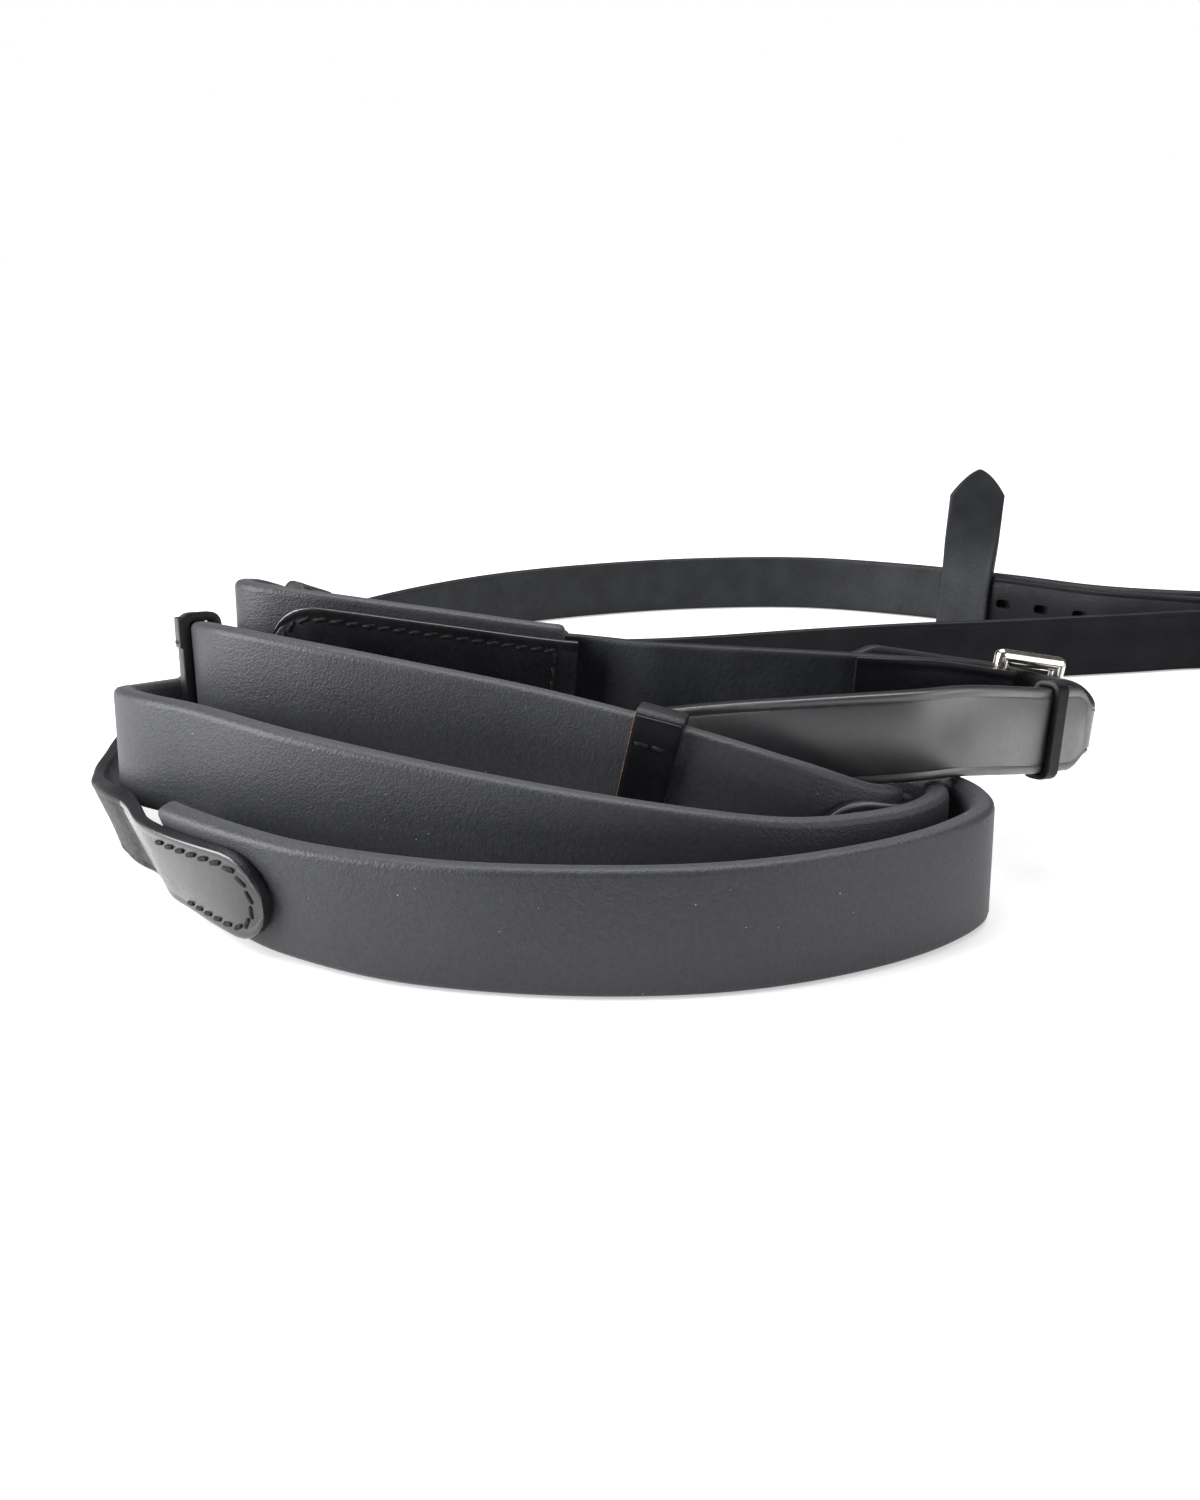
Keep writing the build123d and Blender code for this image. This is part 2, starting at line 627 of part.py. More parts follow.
def hand_strap_b():
    """Rein B's hand part: tongue, creased strap, hairpin, through the buckle, and its end."""
    grip_edge = grip_end_b
    tip = grip_edge - hand_tongue
    right_side = REINS["b"][4]
    size, steps = round_tip(tip, strap_width)
    last = lay_b.length
    skives = [grip_edge + 2.0 + skive_run * share for share in SKIVE_STEPS]
    marks = lay_b.marks_between(tip, last, [*skives, *(tip + step for step in steps)])
    places, widths, thicks, offsets = [], [], [], []
    for m in marks:
        on_grip = step_onto_grip(m, grip_edge, 1)
        places.append(lay_b.at(m))
        widths.append(size(m))
        thicks.append(strap_thick + (tongue_thick - strap_thick) * on_grip)
        offsets.append(right_side * tongue_offset * on_grip)
    end = places[-1]
    lift = (end.middle - heel.middle).dot(heel.top)
    steps = buckle_pass()
    for k, (a, o, heading) in enumerate(steps):
        share = ease((k + 1) / 8)
        along = heel.along * cos(heading) + heel.out * sin(heading)
        top = (end.top * (1 - share) + heel.top * share).normalized()
        out = along.cross(top).normalized()
        middle = heel.point(along=a, out=o, top=lift * (1 - share))
        places.append(Station(middle, along, out, out.cross(along)))
        widths.append(strap_width)
        thicks.append(strap_thick + (billet_hand_thick - strap_thick) * share)
        offsets.append(0.0)
    widths[-1] *= 0.7
    strap = ribbon(places, widths, thicks, offsets)
    (a0, o0), (a1, o1) = steps[15][:2], steps[16][:2]
    (b0, p0), (b1, p1) = prong_line()
    slope, prong_slope = (o1 - o0) / (a1 - a0), (p1 - p0) / (b1 - b0)
    cross_at = (p0 - prong_slope * b0 - o0 + slope * a0) / (slope - prong_slope)
    along = (heel.point(along=a1, out=o1) - heel.point(along=a0, out=o0)).normalized()
    middle = Station(
        heel.point(along=cross_at, out=o0 + slope * (cross_at - a0)), along, along.cross(heel.top), heel.top
    )
    hole = cut_box(middle, prong_hole, 2.4 * billet_hand_thick, 2 * prong_r + 0.8)
    return as_solid(strap - hole)


# ---- build and write every node -----------------------------------------------------------
nodes = {}
for name, (lay, grip_start, grip_end, side, right_side) in REINS.items():
    nodes[f"bit_strap_{name}"] = bit_strap(lay, grip_start, side, right_side)
    nodes[f"hook_stud_{name}"] = hook_stud(lay, side)
    nodes[f"stud_burr_{name}"] = stud_burr(lay, side)
    nodes[f"bit_fixed_keeper_{name}"] = keeper(lay, fixed_keeper_at, keeper_length, billet_thick + 0.8, side)
    nodes[f"bit_running_keeper_{name}"] = keeper(
        lay, running_keeper_at, keeper_length, billet_thick + 0.8, side
    )
    nodes[f"bit_patch_{name}"] = bit_patch(lay, grip_start, right_side)
    nodes[f"grip_cover_{name}"] = grip_cover(lay, grip_start, grip_end)
    nodes[f"grip_core_{name}"] = grip_core(lay, grip_start, grip_end)
    for i in range(2):
        nodes[f"hand_stop_{name}_{i + 1}"] = hand_stop(lay, grip_end - stop_from_end - (1 - i) * stop_pitch)
    nodes[f"hand_patch_{name}"] = hand_patch(lay, grip_end, right_side)
nodes["billet_a"] = billet_a()
nodes["billet_b"] = billet_b()
nodes["hand_strap_a"] = hand_strap_a()
nodes["hand_strap_b"] = hand_strap_b()
nodes["hand_keeper"] = keeper(lay_b, lay_b.length - hand_keeper_at, hand_keeper_length, 0.0)
nodes["buckle_frame"] = buckle_frame()
nodes["buckle_prong"] = buckle_prong()

for name, solid in nodes.items():
    export_step(solid, f"parts/{name}.step")
    print(f"{name:24s} volume {solid.volume:9.1f} mm3 valid {solid.is_valid}")
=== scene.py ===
# %% [markdown]
# # A pair of leather reins
# Two halves of black bridle leather, each with a long sleeve of soft rubber for the
# rider's hands, are buckled together and coiled on edge. The rigid metal comes ready
# from the CAD frame. Everything soft is cut flat here, as a saddler cuts it, and is
# then laid along the coil. That keeps edges, creases and stitches true to the strap.

# %% Load the frame
import bisect
import math

import bmesh
import bpy
from mathutils import Matrix, Vector


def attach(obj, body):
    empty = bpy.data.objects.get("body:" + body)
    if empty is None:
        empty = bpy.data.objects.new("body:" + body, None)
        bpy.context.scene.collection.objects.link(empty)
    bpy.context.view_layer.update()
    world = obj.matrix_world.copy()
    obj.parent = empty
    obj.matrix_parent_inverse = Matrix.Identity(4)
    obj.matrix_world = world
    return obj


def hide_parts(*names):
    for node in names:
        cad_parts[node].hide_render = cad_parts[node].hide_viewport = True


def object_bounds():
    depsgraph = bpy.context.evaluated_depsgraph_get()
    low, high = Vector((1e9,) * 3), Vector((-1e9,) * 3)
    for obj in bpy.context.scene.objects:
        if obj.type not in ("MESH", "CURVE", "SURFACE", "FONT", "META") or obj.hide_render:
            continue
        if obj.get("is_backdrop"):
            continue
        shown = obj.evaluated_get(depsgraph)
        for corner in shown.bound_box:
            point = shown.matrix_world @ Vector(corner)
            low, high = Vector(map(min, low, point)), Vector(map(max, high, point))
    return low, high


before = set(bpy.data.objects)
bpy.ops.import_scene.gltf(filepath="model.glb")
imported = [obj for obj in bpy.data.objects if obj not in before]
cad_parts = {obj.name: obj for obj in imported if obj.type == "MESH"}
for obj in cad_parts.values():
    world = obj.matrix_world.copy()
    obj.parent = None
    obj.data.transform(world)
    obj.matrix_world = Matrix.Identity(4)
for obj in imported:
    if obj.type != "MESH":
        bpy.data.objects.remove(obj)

cad_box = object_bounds()

# %% [markdown]
# The camera looks at the coil from the front, a little from above, as someone does who
# sits at the table. It is made first, so that each later step can be looked at.

# %% Camera
MM = 0.001
MIDDLE = (91.2, 157.8)              # mm, middle of the layout, at X = 0 and Y = 0
CAMERA_AT = (0.0, -255.46, 108.9)   # mm, before that shift
CAMERA_PITCH = 15.338               # degrees below level
camera = bpy.data.objects.new("camera", bpy.data.cameras.new("camera"))
bpy.context.scene.collection.objects.link(camera)
camera.data.sensor_fit = "AUTO"
camera.data.sensor_width = 36.0
camera.data.lens = 43.2
camera.data.clip_start = 0.01
camera.location = (
    (CAMERA_AT[0] - MIDDLE[0]) * MM, (CAMERA_AT[1] - MIDDLE[1]) * MM, CAMERA_AT[2] * MM,
)
camera.rotation_euler = (math.radians(90 - CAMERA_PITCH), 0, 0)
bpy.context.scene.camera = camera
bpy.context.scene.view_settings.view_transform = "Standard"
print("camera", [round(v, 3) for v in camera.location])

# %% [markdown]
# A material is a small graph of nodes. One function adds a node, sets its options and
# fills its sockets, either with a value or with a link from another node.

# %% Node helper and colour helper
def add_node(tree, kind, sockets=(), **options):
    node = tree.nodes.new(kind)
    for name, value in options.items():
        setattr(node, name, value)
    for name, value in dict(sockets).items():
        socket = node.inputs[name]
        if isinstance(value, bpy.types.NodeSocket):
            tree.links.new(value, socket)
        else:
            socket.default_value = value
    return node


def srgb(code):
    """A colour written as hex, in the linear values that Blender works with."""
    parts = [int(code[i:i + 2], 16) / 255 for i in (1, 3, 5)]
    linear = [p / 12.92 if p <= 0.04045 else ((p + 0.055) / 1.055) ** 2.4 for p in parts]
    return (*linear, 1.0)


def start_material(name):
    material = bpy.data.materials.new(name)
    material.use_nodes = True
    material.node_tree.nodes.clear()
    return material, material.node_tree


def ramp(tree, value, stops):
    """Colour ramp from (position, hex colour) pairs."""
    node = add_node(tree, "ShaderNodeValToRGB", {"Fac": value})
    elements = node.color_ramp.elements
    elements[0].position, elements[0].color = stops[0][0], srgb(stops[0][1])
    elements[1].position, elements[1].color = stops[-1][0], srgb(stops[-1][1])
    for position, code in stops[1:-1]:
        elements.new(position).color = srgb(code)
    return node.outputs["Color"]


def finish_material(tree, shader):
    add_node(tree, "ShaderNodeOutputMaterial", {"Surface": shader.outputs["BSDF"]})


# %% [markdown]
# Soft rubber for grips is moulded in a sheet with a fine pebbled skin. It is matte and
# charcoal, with no shine of its own, so light rolls over it softly. The skin's grains
# are about 0.4 mm. Rubber also gathers pale dust, which shows as sparse tiny specks.
# The pattern reads "flat", the place of each point on the strap before it was bent.

# %% Rubber of the grips
PER_MM = 1 / MM                     # texture cells per millimetre, for a 1 mm cell


def flat_place(tree):
    return add_node(tree, "ShaderNodeAttribute", attribute_name="flat").outputs["Vector"]


def rubber_material():
    material, tree = start_material("pebbled_grip_rubber")
    place = flat_place(tree)
    cloud = add_node(
        tree, "ShaderNodeTexNoise", {"Vector": place, "Scale": PER_MM / 22, "Detail": 4.0},
    )
    grain = add_node(tree, "ShaderNodeTexVoronoi", {"Vector": place, "Scale": PER_MM / 0.45})
    fine = add_node(
        tree, "ShaderNodeTexNoise", {"Vector": place, "Scale": PER_MM / 0.9, "Detail": 2.0},
    )
    body = ramp(tree, cloud.outputs["Fac"], [(0.3, "#26272c"), (0.7, "#2e2f35")])
    mottle = ramp(tree, fine.outputs["Fac"], [(0.3, "#212227"), (0.7, "#333439")])
    mixed = add_node(
        tree, "ShaderNodeMix", {"Factor": 0.5, "A": body, "B": mottle}, data_type="RGBA",
    )
    specks = add_node(tree, "ShaderNodeTexVoronoi", {"Vector": place, "Scale": PER_MM / 2.6})
    near = add_node(
        tree, "ShaderNodeMath", {0: specks.outputs["Distance"], 1: 0.042}, operation="LESS_THAN",
    )
    some = add_node(tree, "ShaderNodeSeparateColor", {"Color": specks.outputs["Color"]})
    few = add_node(
        tree, "ShaderNodeMath", {0: some.outputs["Red"], 1: 0.4}, operation="LESS_THAN",
    )
    dust = add_node(
        tree, "ShaderNodeMath", {0: near.outputs[0], 1: few.outputs[0]}, operation="MULTIPLY",
    )
    dusty = add_node(
        tree, "ShaderNodeMix",
        {"Factor": dust.outputs[0], "A": mixed.outputs["Result"], "B": srgb("#9c9ca2")},
        data_type="RGBA",
    )
    height = add_node(
        tree, "ShaderNodeMath",
        {0: fine.outputs["Fac"], 1: grain.outputs["Distance"]}, operation="ADD",
    )
    bump = add_node(
        tree, "ShaderNodeBump",
        {"Strength": 0.5, "Distance": 0.12 * MM, "Height": height.outputs[0]},
    )
    finish_material(tree, add_node(
        tree, "ShaderNodeBsdfPrincipled",
        {
            "Base Color": dusty.outputs["Result"], "Roughness": 0.5, "IOR": 1.5,
            "Specular IOR Level": 0.45, "Sheen Weight": 0.06, "Sheen Roughness": 0.5,
            "Normal": bump.outputs["Normal"],
        },
    ))
    return material


# %% [markdown]
# Bridle leather is tanned with bark, dyed black and filled with wax and tallow. Its
# grain side takes a soft polish: broad highlights with tiny pores and a few scuffs in
# them. The flesh side is the duller, fuzzier back. Cut edges are dyed and rubbed, and
# where the dye is worn the brown of the hide shows. Tongues are rubbed smooth, and the
# strap at the buckle is buffed: its coat of wax gives a wider, softer sheen. One recipe
# with a few numbers makes all of these.

# %% Leather finishes
def leather_material(
    name, dark, light, roughness, pore_mm, pore_depth, wear="", coat=0.0, shine=0.3,
):
    material, tree = start_material(name)
    place = flat_place(tree)
    cloud = add_node(
        tree, "ShaderNodeTexNoise", {"Vector": place, "Scale": PER_MM / 9, "Detail": 6.0},
    )
    pores = add_node(tree, "ShaderNodeTexVoronoi", {"Vector": place, "Scale": PER_MM / pore_mm})
    scuffs = add_node(
        tree, "ShaderNodeTexNoise",
        {"Vector": place, "Scale": PER_MM / 2.2, "Detail": 8.0, "Distortion": 1.6},
    )
    colour = ramp(tree, cloud.outputs["Fac"], [(0.35, dark), (0.7, light)])
    if wear:
        streaks = add_node(
            tree, "ShaderNodeTexNoise",
            {"Vector": place, "Scale": PER_MM / 0.9, "Detail": 5.0, "Roughness": 0.7},
        )
        worn = add_node(
            tree, "ShaderNodeMapRange",
            {"Value": streaks.outputs["Fac"], "From Min": 0.52, "From Max": 0.66},
        )
        colour = add_node(
            tree, "ShaderNodeMix",
            {"Factor": worn.outputs["Result"], "A": colour, "B": srgb(wear)}, data_type="RGBA",
        ).outputs["Result"]
    gloss = add_node(
        tree, "ShaderNodeMapRange",
        {
            "Value": scuffs.outputs["Fac"], "From Min": 0.3, "From Max": 0.75,
            "To Min": roughness - 0.06, "To Max": roughness + 0.1,
        },
    )
    height = add_node(
        tree, "ShaderNodeMath",
        {0: pores.outputs["Distance"], 1: cloud.outputs["Fac"]}, operation="ADD",
    )
    bump = add_node(
        tree, "ShaderNodeBump",
        {"Strength": 0.4, "Distance": pore_depth * MM, "Height": height.outputs[0]},
    )
    finish_material(tree, add_node(
        tree, "ShaderNodeBsdfPrincipled",
        {
            "Base Color": colour, "Roughness": gloss.outputs["Result"], "IOR": 1.5,
            "Specular IOR Level": shine, "Coat Weight": coat, "Coat Roughness": roughness,
            "Normal": bump.outputs["Normal"],
        },
    ))
    return material


RUBBER = rubber_material()
GRAIN = leather_material(
    "waxed_bridle_leather", "#0d0e11", "#15161a", 0.4, 0.55, 0.05, shine=0.1,
)
POLISHED = leather_material(
    "polished_bridle_leather", "#0f0f12", "#1a1a1f", 0.28, 0.5, 0.04, coat=0.6, shine=0.5,
)
BUFFED = leather_material(
    "buffed_bridle_leather", "#0f1013", "#1a1b20", 0.42, 0.5, 0.02, coat=1.0, shine=0.9,
)
FLESH = leather_material("flesh_side_leather", "#131418", "#212327", 0.58, 0.8, 0.12)
EDGE = leather_material("dyed_leather_edge", "#101013", "#1c1b20", 0.45, 0.4, 0.1)
RAW_EDGE = leather_material(
    "raw_leather_edge", "#4a3423", "#7a5233", 0.7, 0.35, 0.15, wear="#b07a4a",
)

# %% [markdown]
# Harness thread is linen or polyester, waxed black. Nickel plate is a slightly warm
# mirror with fine rub marks. Webbing is sealed inside the grips.

# %% Thread, nickel and webbing
def thread_material():
    material, tree = start_material("waxed_black_thread")
    place = flat_place(tree)
    ply = add_node(
        tree, "ShaderNodeTexWave", {"Vector": place, "Scale": PER_MM / 3.0, "Distortion": 1.5},
        bands_direction="DIAGONAL",
    )
    colour = ramp(tree, ply.outputs["Fac"], [(0.2, "#0c0c0e"), (0.8, "#1d1d20")])
    bump = add_node(
        tree, "ShaderNodeBump",
        {"Strength": 0.6, "Distance": 0.08 * MM, "Height": ply.outputs["Fac"]},
    )
    finish_material(tree, add_node(
        tree, "ShaderNodeBsdfPrincipled",
        {
            "Base Color": colour, "Roughness": 0.6, "Specular IOR Level": 0.2,
            "Normal": bump.outputs["Normal"],
        },
    ))
    return material


def nickel_material():
    material, tree = start_material("polished_nickel_plate")
    place = add_node(tree, "ShaderNodeTexCoord").outputs["Object"]
    rubs = add_node(
        tree, "ShaderNodeTexNoise", {"Vector": place, "Scale": PER_MM / 1.2, "Detail": 8.0},
    )
    tone = ramp(tree, rubs.outputs["Fac"], [(0.3, "#cdc8be"), (0.7, "#e0dcd3")])
    gloss = add_node(
        tree, "ShaderNodeMapRange",
        {
            "Value": rubs.outputs["Fac"], "From Min": 0.3, "From Max": 0.7,
            "To Min": 0.1, "To Max": 0.22,
        },
    )
    bump = add_node(
        tree, "ShaderNodeBump",
        {"Strength": 0.15, "Distance": 0.03 * MM, "Height": rubs.outputs["Fac"]},
    )
    finish_material(tree, add_node(
        tree, "ShaderNodeBsdfPrincipled",
        {
            "Base Color": tone, "Metallic": 1.0, "Roughness": gloss.outputs["Result"],
            "Normal": bump.outputs["Normal"],
        },
    ))
    return material


def webbing_material():
    material, tree = start_material("woven_webbing")
    place = add_node(tree, "ShaderNodeTexCoord").outputs["Object"]
    weave = add_node(tree, "ShaderNodeTexWave", {"Vector": place, "Scale": PER_MM / 5.0})
    colour = ramp(tree, weave.outputs["Fac"], [(0.2, "#141416"), (0.8, "#29292d")])
    finish_material(tree, add_node(
        tree, "ShaderNodeBsdfPrincipled", {"Base Color": colour, "Roughness": 0.8},
    ))
    return material


THREAD = thread_material()
NICKEL = nickel_material()
WEBBING = webbing_material()
METAL_NODES = (
    "buckle_frame", "buckle_prong", "hook_stud_a", "hook_stud_b", "stud_burr_a", "stud_burr_b",
)
for material, nodes in ((NICKEL, METAL_NODES), (WEBBING, ("grip_core_a", "grip_core_b"))):
    for node in nodes:
        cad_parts[node].data.materials.clear()
        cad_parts[node].data.materials.append(material)
print("materials:", len(bpy.data.materials))

# %% [markdown]
# Both reins are coiled on edge. Each lay below is a list of places along the middle of a
# strap: X, Y, height and lean. Lean is in degrees, with the top edge outwards. A smooth
# curve through the places gives the path of the strap. "Out" is the right-hand side of
# someone who walks along the strap from its bit end.

# %% Lays of the reins, in mm
LAY_B = [
    (240, 243.5, 9.7, 0), (225, 243.5, 9.7, 0), (210, 243.5, 9.7, 0), (194, 243.5, 9.7, 0),
    (170, 248, 9.4, 0), (146, 261, 8.6, 0), (124, 283, 8.1, 0), (96, 302.5, 8.1, 0),
    (66, 315, 8.1, 0), (33, 314, 8.1, 0), (0, 303.5, 8.1, 0), (-31, 285, 8.1, 0),
    (-60, 252, 8.1, 0), (-82, 206, 8.1, 0), (-94, 158, 8.1, 0), (-96.17, 115, 8.1, 0),
    (-94.5, 85, 8.3, 4), (-91.9, 71, 8.4, 16), (-89, 61.8, 9.2, 22), (-82.6, 48.7, 11.2, 22),
    (-75, 38.8, 12.4, 21.5), (-69, 30.6, 12.4, 21), (-51.2, 14.1, 11.2, 10), (-28, 3.5, 10.6, 4),
    (0, 0, 10.4, 0),
    (22, 2.5, 10.33, 0), (42, 11, 10.3, 0), (56, 21.5, 10.3, 0), (64, 32.5, 10.3, 0),
    (64.3, 43.5, 10.3, 0), (59.5, 53.5, 10.3, 0), (49, 65, 10.3, 0), (33, 79, 10.3, 0),
    (6, 101, 11.5, 0), (-24, 117, 14.5, 0), (-54, 118.5, 19, 0), (-72, 107.5, 24.5, 0),
    (-77.2, 91.5, 28.5, 0), (-74.6, 73, 33.2, 0), (-67, 58.5, 35.4, 0), (-52, 50, 34.5, 2),
    (-34, 44.5, 32.2, 3), (-10, 39.5, 28.3, 3), (14, 34.5, 23, 2), (31, 33, 17.8, 1),
    (43.2, 36.4, 12.8, 0), (50.2, 43, 10.4, 0), (46.6, 49, 10.4, 0), (33.5, 55.5, 10.4, 0),
    (0, 66, 10.4, 0), (-30, 71, 10.6, 0), (-52, 71.5, 11.4, 0), (-61, 64, 12.5, 0),
    (-54, 56.5, 14, 0), (-30, 54, 17.5, 0), (0, 50.5, 23, 0), (18, 47, 26.1, 0),
    (36, 43.5, 28.3, 0), (54, 43.5, 29.5, 0), (62, 47.5, 29.2, 0), (70, 54.5, 27.5, 0),
    (80, 65.5, 24.6, 0), (88.7, 74.2, 22.8, 0),
]
LAY_A = [
    (130, 30, 9.7, 0), (148, 30, 9.7, 0), (166, 30, 9.7, 0), (184, 30, 9.7, 0),
    (206, 31, 9.4, 0), (236, 40, 8.6, 0), (264, 64, 8.1, 0), (277, 98, 8.1, 0),
    (277, 134, 8.1, 0), (263, 170, 8.1, 0), (238, 199, 8.1, 0), (208, 218, 8.1, 0),
    (184, 225, 8.1, 0), (164, 226.5, 8.1, 0), (143, 221.5, 8.1, 0), (106, 213, 8.1, 0),
    (80, 208, 8.1, 0), (52, 200, 8.1, 0), (27, 191.3, 8.2, 0), (9, 184.7, 8.8, 0),
    (-8, 178.2, 10.45, 0),
    (-34, 165, 10.3, 0), (-62, 140, 11.8, 0), (-78, 110, 15.2, 0), (-84, 86, 19, 0),
    (-86.3, 72, 21.4, 0), (-86, 61.5, 23.4, 0), (-80.4, 51.8, 24.6, 0), (-69.2, 42.8, 24.9, 2),
    (-50, 29.5, 23.6, 4), (-22, 19.5, 20, 4), (7, 15.5, 15.8, 3), (29, 18.5, 12.2, 1),
    (43, 25.5, 10.8, 0), (54, 34, 10.4, 0), (58.3, 43, 10.4, 0), (54.5, 51.5, 10.4, 0),
    (43, 61, 11.4, 0), (32, 66.4, 12.2, 0), (21.6, 71.6, 12.76, 0), (8.6, 79.1, 11.4, 0),
    (-4, 89.5, 11.6, 0),
    (-22, 102, 20, 0), (-46, 107, 27, 0), (-61, 106.5, 32, 0), (-69, 98.5, 36.6, 0),
    (-68, 89, 38, 0), (-56, 83.5, 37.2, 0), (-36, 82.5, 34.5, 0), (-8, 84, 30.4, 0),
    (14, 81.5, 29.6, 0), (39, 76.5, 29.3, 0), (55, 76.5, 28.3, 0), (64, 79.5, 27, 0),
    (72.3, 82, 25.3, 0),
]
# Billet B lies loose beside its own rein, from its fold to the corner at its tip.
BILLET_B = [
    (240, 230.5, 9.7, 0), (224, 230.5, 9.7, 0), (208, 231, 9.7, 0), (190, 232.8, 9.6, 0),
    (175, 237.4, 9.2, 0), (160, 246, 8.8, 0), (143, 257.8, 8.3, 0), (121, 279.6, 8.1, 0),
    (105, 291, 8.1, 0),
]


def ease(x):
    """Smooth step from 0 to 1."""
    x = min(max(x, 0.0), 1.0)
    return x * x * (3 - 2 * x)


def sides(along):
    """The level side and the upright that go with a direction of travel."""
    level = along.cross(Vector((0, 0, 1))).normalized()
    return level, level.cross(along)


def smooth_lay(points, samples=12):
    """Centripetal Catmull-Rom curve through the places, as (middle, lean)."""
    rows = [Vector((p[0] - MIDDLE[0], p[1] - MIDDLE[1], p[2])) for p in points]
    leans = [p[3] for p in points]
    rows = [rows[0] * 2 - rows[1], *rows, rows[-1] * 2 - rows[-2]]
    curve = []
    for i in range(1, len(rows) - 2):
        p = rows[i - 1:i + 3]
        t = [0.0]
        for a, b in zip(p, p[1:]):
            t.append(t[-1] + (b - a).length ** 0.5)
        for k in range(samples):
            share = k / samples
            x = t[1] + (t[2] - t[1]) * share

            def mix(a, b, ta, tb):
                return a * ((tb - x) / (tb - ta)) + b * ((x - ta) / (tb - ta))

            a1, a2, a3 = (mix(p[n], p[n + 1], t[n], t[n + 1]) for n in range(3))
            middle = mix(mix(a1, a2, t[0], t[2]), mix(a2, a3, t[1], t[3]), t[1], t[2])
            curve.append((middle, leans[i - 1] + (leans[i] - leans[i - 1]) * ease(share)))
    curve.append((rows[-2], leans[-1]))
    return curve


class Path:
    """A strap's path: its middles, its top edges' directions and the length to each."""

    def __init__(self, curve, start=0.0):
        self.middles = [middle for middle, _ in curve]
        self.tops = []
        for i, (_, lean) in enumerate(curve):
            level, upright = sides(self.heading(i))
            angle = math.radians(lean)
            self.tops.append(upright * math.cos(angle) + level * math.sin(angle))
        self.measure(start)

    def heading(self, i):
        ahead = self.middles[min(i + 1, len(self.middles) - 1)]
        return (ahead - self.middles[max(i - 1, 0)]).normalized()

    def measure(self, start):
        self.marks = [start]
        for a, b in zip(self.middles, self.middles[1:]):
            self.marks.append(self.marks[-1] + (b - a).length)
        self.length = self.marks[-1]

    def at(self, s):
        """Middle, direction, outward face and top edge at a length."""
        i = min(max(bisect.bisect_right(self.marks, s) - 1, 0), len(self.marks) - 2)
        f = (s - self.marks[i]) / (self.marks[i + 1] - self.marks[i])
        middle = self.middles[i].lerp(self.middles[i + 1], f)
        along = self.heading(i).lerp(self.heading(i + 1), f).normalized()
        out = along.cross(self.tops[i].lerp(self.tops[i + 1], f)).normalized()
        return middle, along, out, out.cross(along)

    def curve(self):
        """A curve object for bending pieces: tilt turns its upright onto the strap's top."""
        data = bpy.data.curves.new("path", "CURVE")
        data.dimensions = "3D"
        data.twist_mode = "Z_UP"
        spline = data.splines.new("POLY")
        spline.points.add(len(self.middles) - 1)
        for i, point in enumerate(spline.points):
            level, upright = sides(self.heading(i))
            point.co = (*(self.middles[i] * MM), 1)
            point.tilt = math.atan2(self.tops[i].dot(level), self.tops[i].dot(upright))
        bend = bpy.data.objects.new("path", data)
        bpy.context.scene.collection.objects.link(bend)
        return bend


# %% [markdown]
# At its bit end each rein folds back in a half ring round the place of the bit ring. At
# the hand end rein A's chape wraps the buckle's heel bar, and rein B turns in a hairpin
# and threads through the buckle: in front of the toe bar, then behind the heel bar. These
# turns are added to the two paths, so one path carries everything that lies on a rein.

# %% Paths of the two reins
FOLD_R, FOLD_STEPS = 6.5, 16        # middle of the leather round the bit ring
BUCKLE_LENGTH = 12.5                # heel bar to toe bar
HEEL_AHEAD = 3.45                   # end of rein A's lay to the centre of the heel bar
CHAPE_MIDDLE = 2.55                 # chape leather to the centre of the heel bar
CHAPE_RUN, CHAPE_EASE = 26.0, 12.0  # stitched part of the chape, and its way in to the bar
UNDER_TOE, OVER_HEEL = 3.4, 5.35    # rein B's leather to the centres of the two bars
TAIL = 30.0                         # rein B's end beyond the heel bar
SIDE = {"a": 1, "b": -1}            # side of the fold, the billet and the stud
RIGHT = {"a": -1, "b": 1}           # side where the grain of the leather faces


def add_fold(path, side):
    """Puts the half ring in front of a path, so that its lengths are below zero."""
    middle, along, out, top = path.at(0.0)
    ring = []
    for k in range(FOLD_STEPS):
        angle = math.pi * (1 - k / FOLD_STEPS)
        turn = along * -math.sin(angle) - out * side * math.cos(angle)
        ring.append(middle + (out * side + turn) * FOLD_R)
    path.middles = ring + path.middles
    path.tops = [top] * len(ring) + path.tops
    path.measure(-math.pi * FOLD_R)


path_a = Path(smooth_lay(LAY_A))
path_b = Path(smooth_lay(LAY_B))
HAND_END_A, HAND_END_B = path_a.length, path_b.length
end_a, end_b = path_a.at(HAND_END_A), path_b.at(HAND_END_B)
heel, H_ALONG, H_OUT, H_TOP = (end_a[0] + end_a[1] * HEEL_AHEAD, *end_a[1:])

# Rein A: ease inwards beside the heel bar, go round it and come back.
chape_back = []
for k in range(21):
    back = CHAPE_RUN * k / 20
    middle, along, out, top = path_a.at(HAND_END_A - back)
    chape_back.append((middle + out * (CHAPE_MIDDLE + 0.1 * ease(back / CHAPE_EASE)), top))
shifts = [
    path_a.at(m)[2] * CHAPE_MIDDLE * ease((m - HAND_END_A + CHAPE_EASE) / CHAPE_EASE)
    for m in path_a.marks
]
path_a.middles = [middle - shift for middle, shift in zip(path_a.middles, shifts)]
for k in range(17):
    angle = math.pi * k / 16
    turn = H_ALONG * math.sin(angle) - H_OUT * math.cos(angle)
    path_a.middles.append(heel + turn * CHAPE_MIDDLE)
    path_a.tops.append(H_TOP)
for middle, top in chape_back:
    path_a.middles.append(middle)
    path_a.tops.append(top)
add_fold(path_a, SIDE["a"])

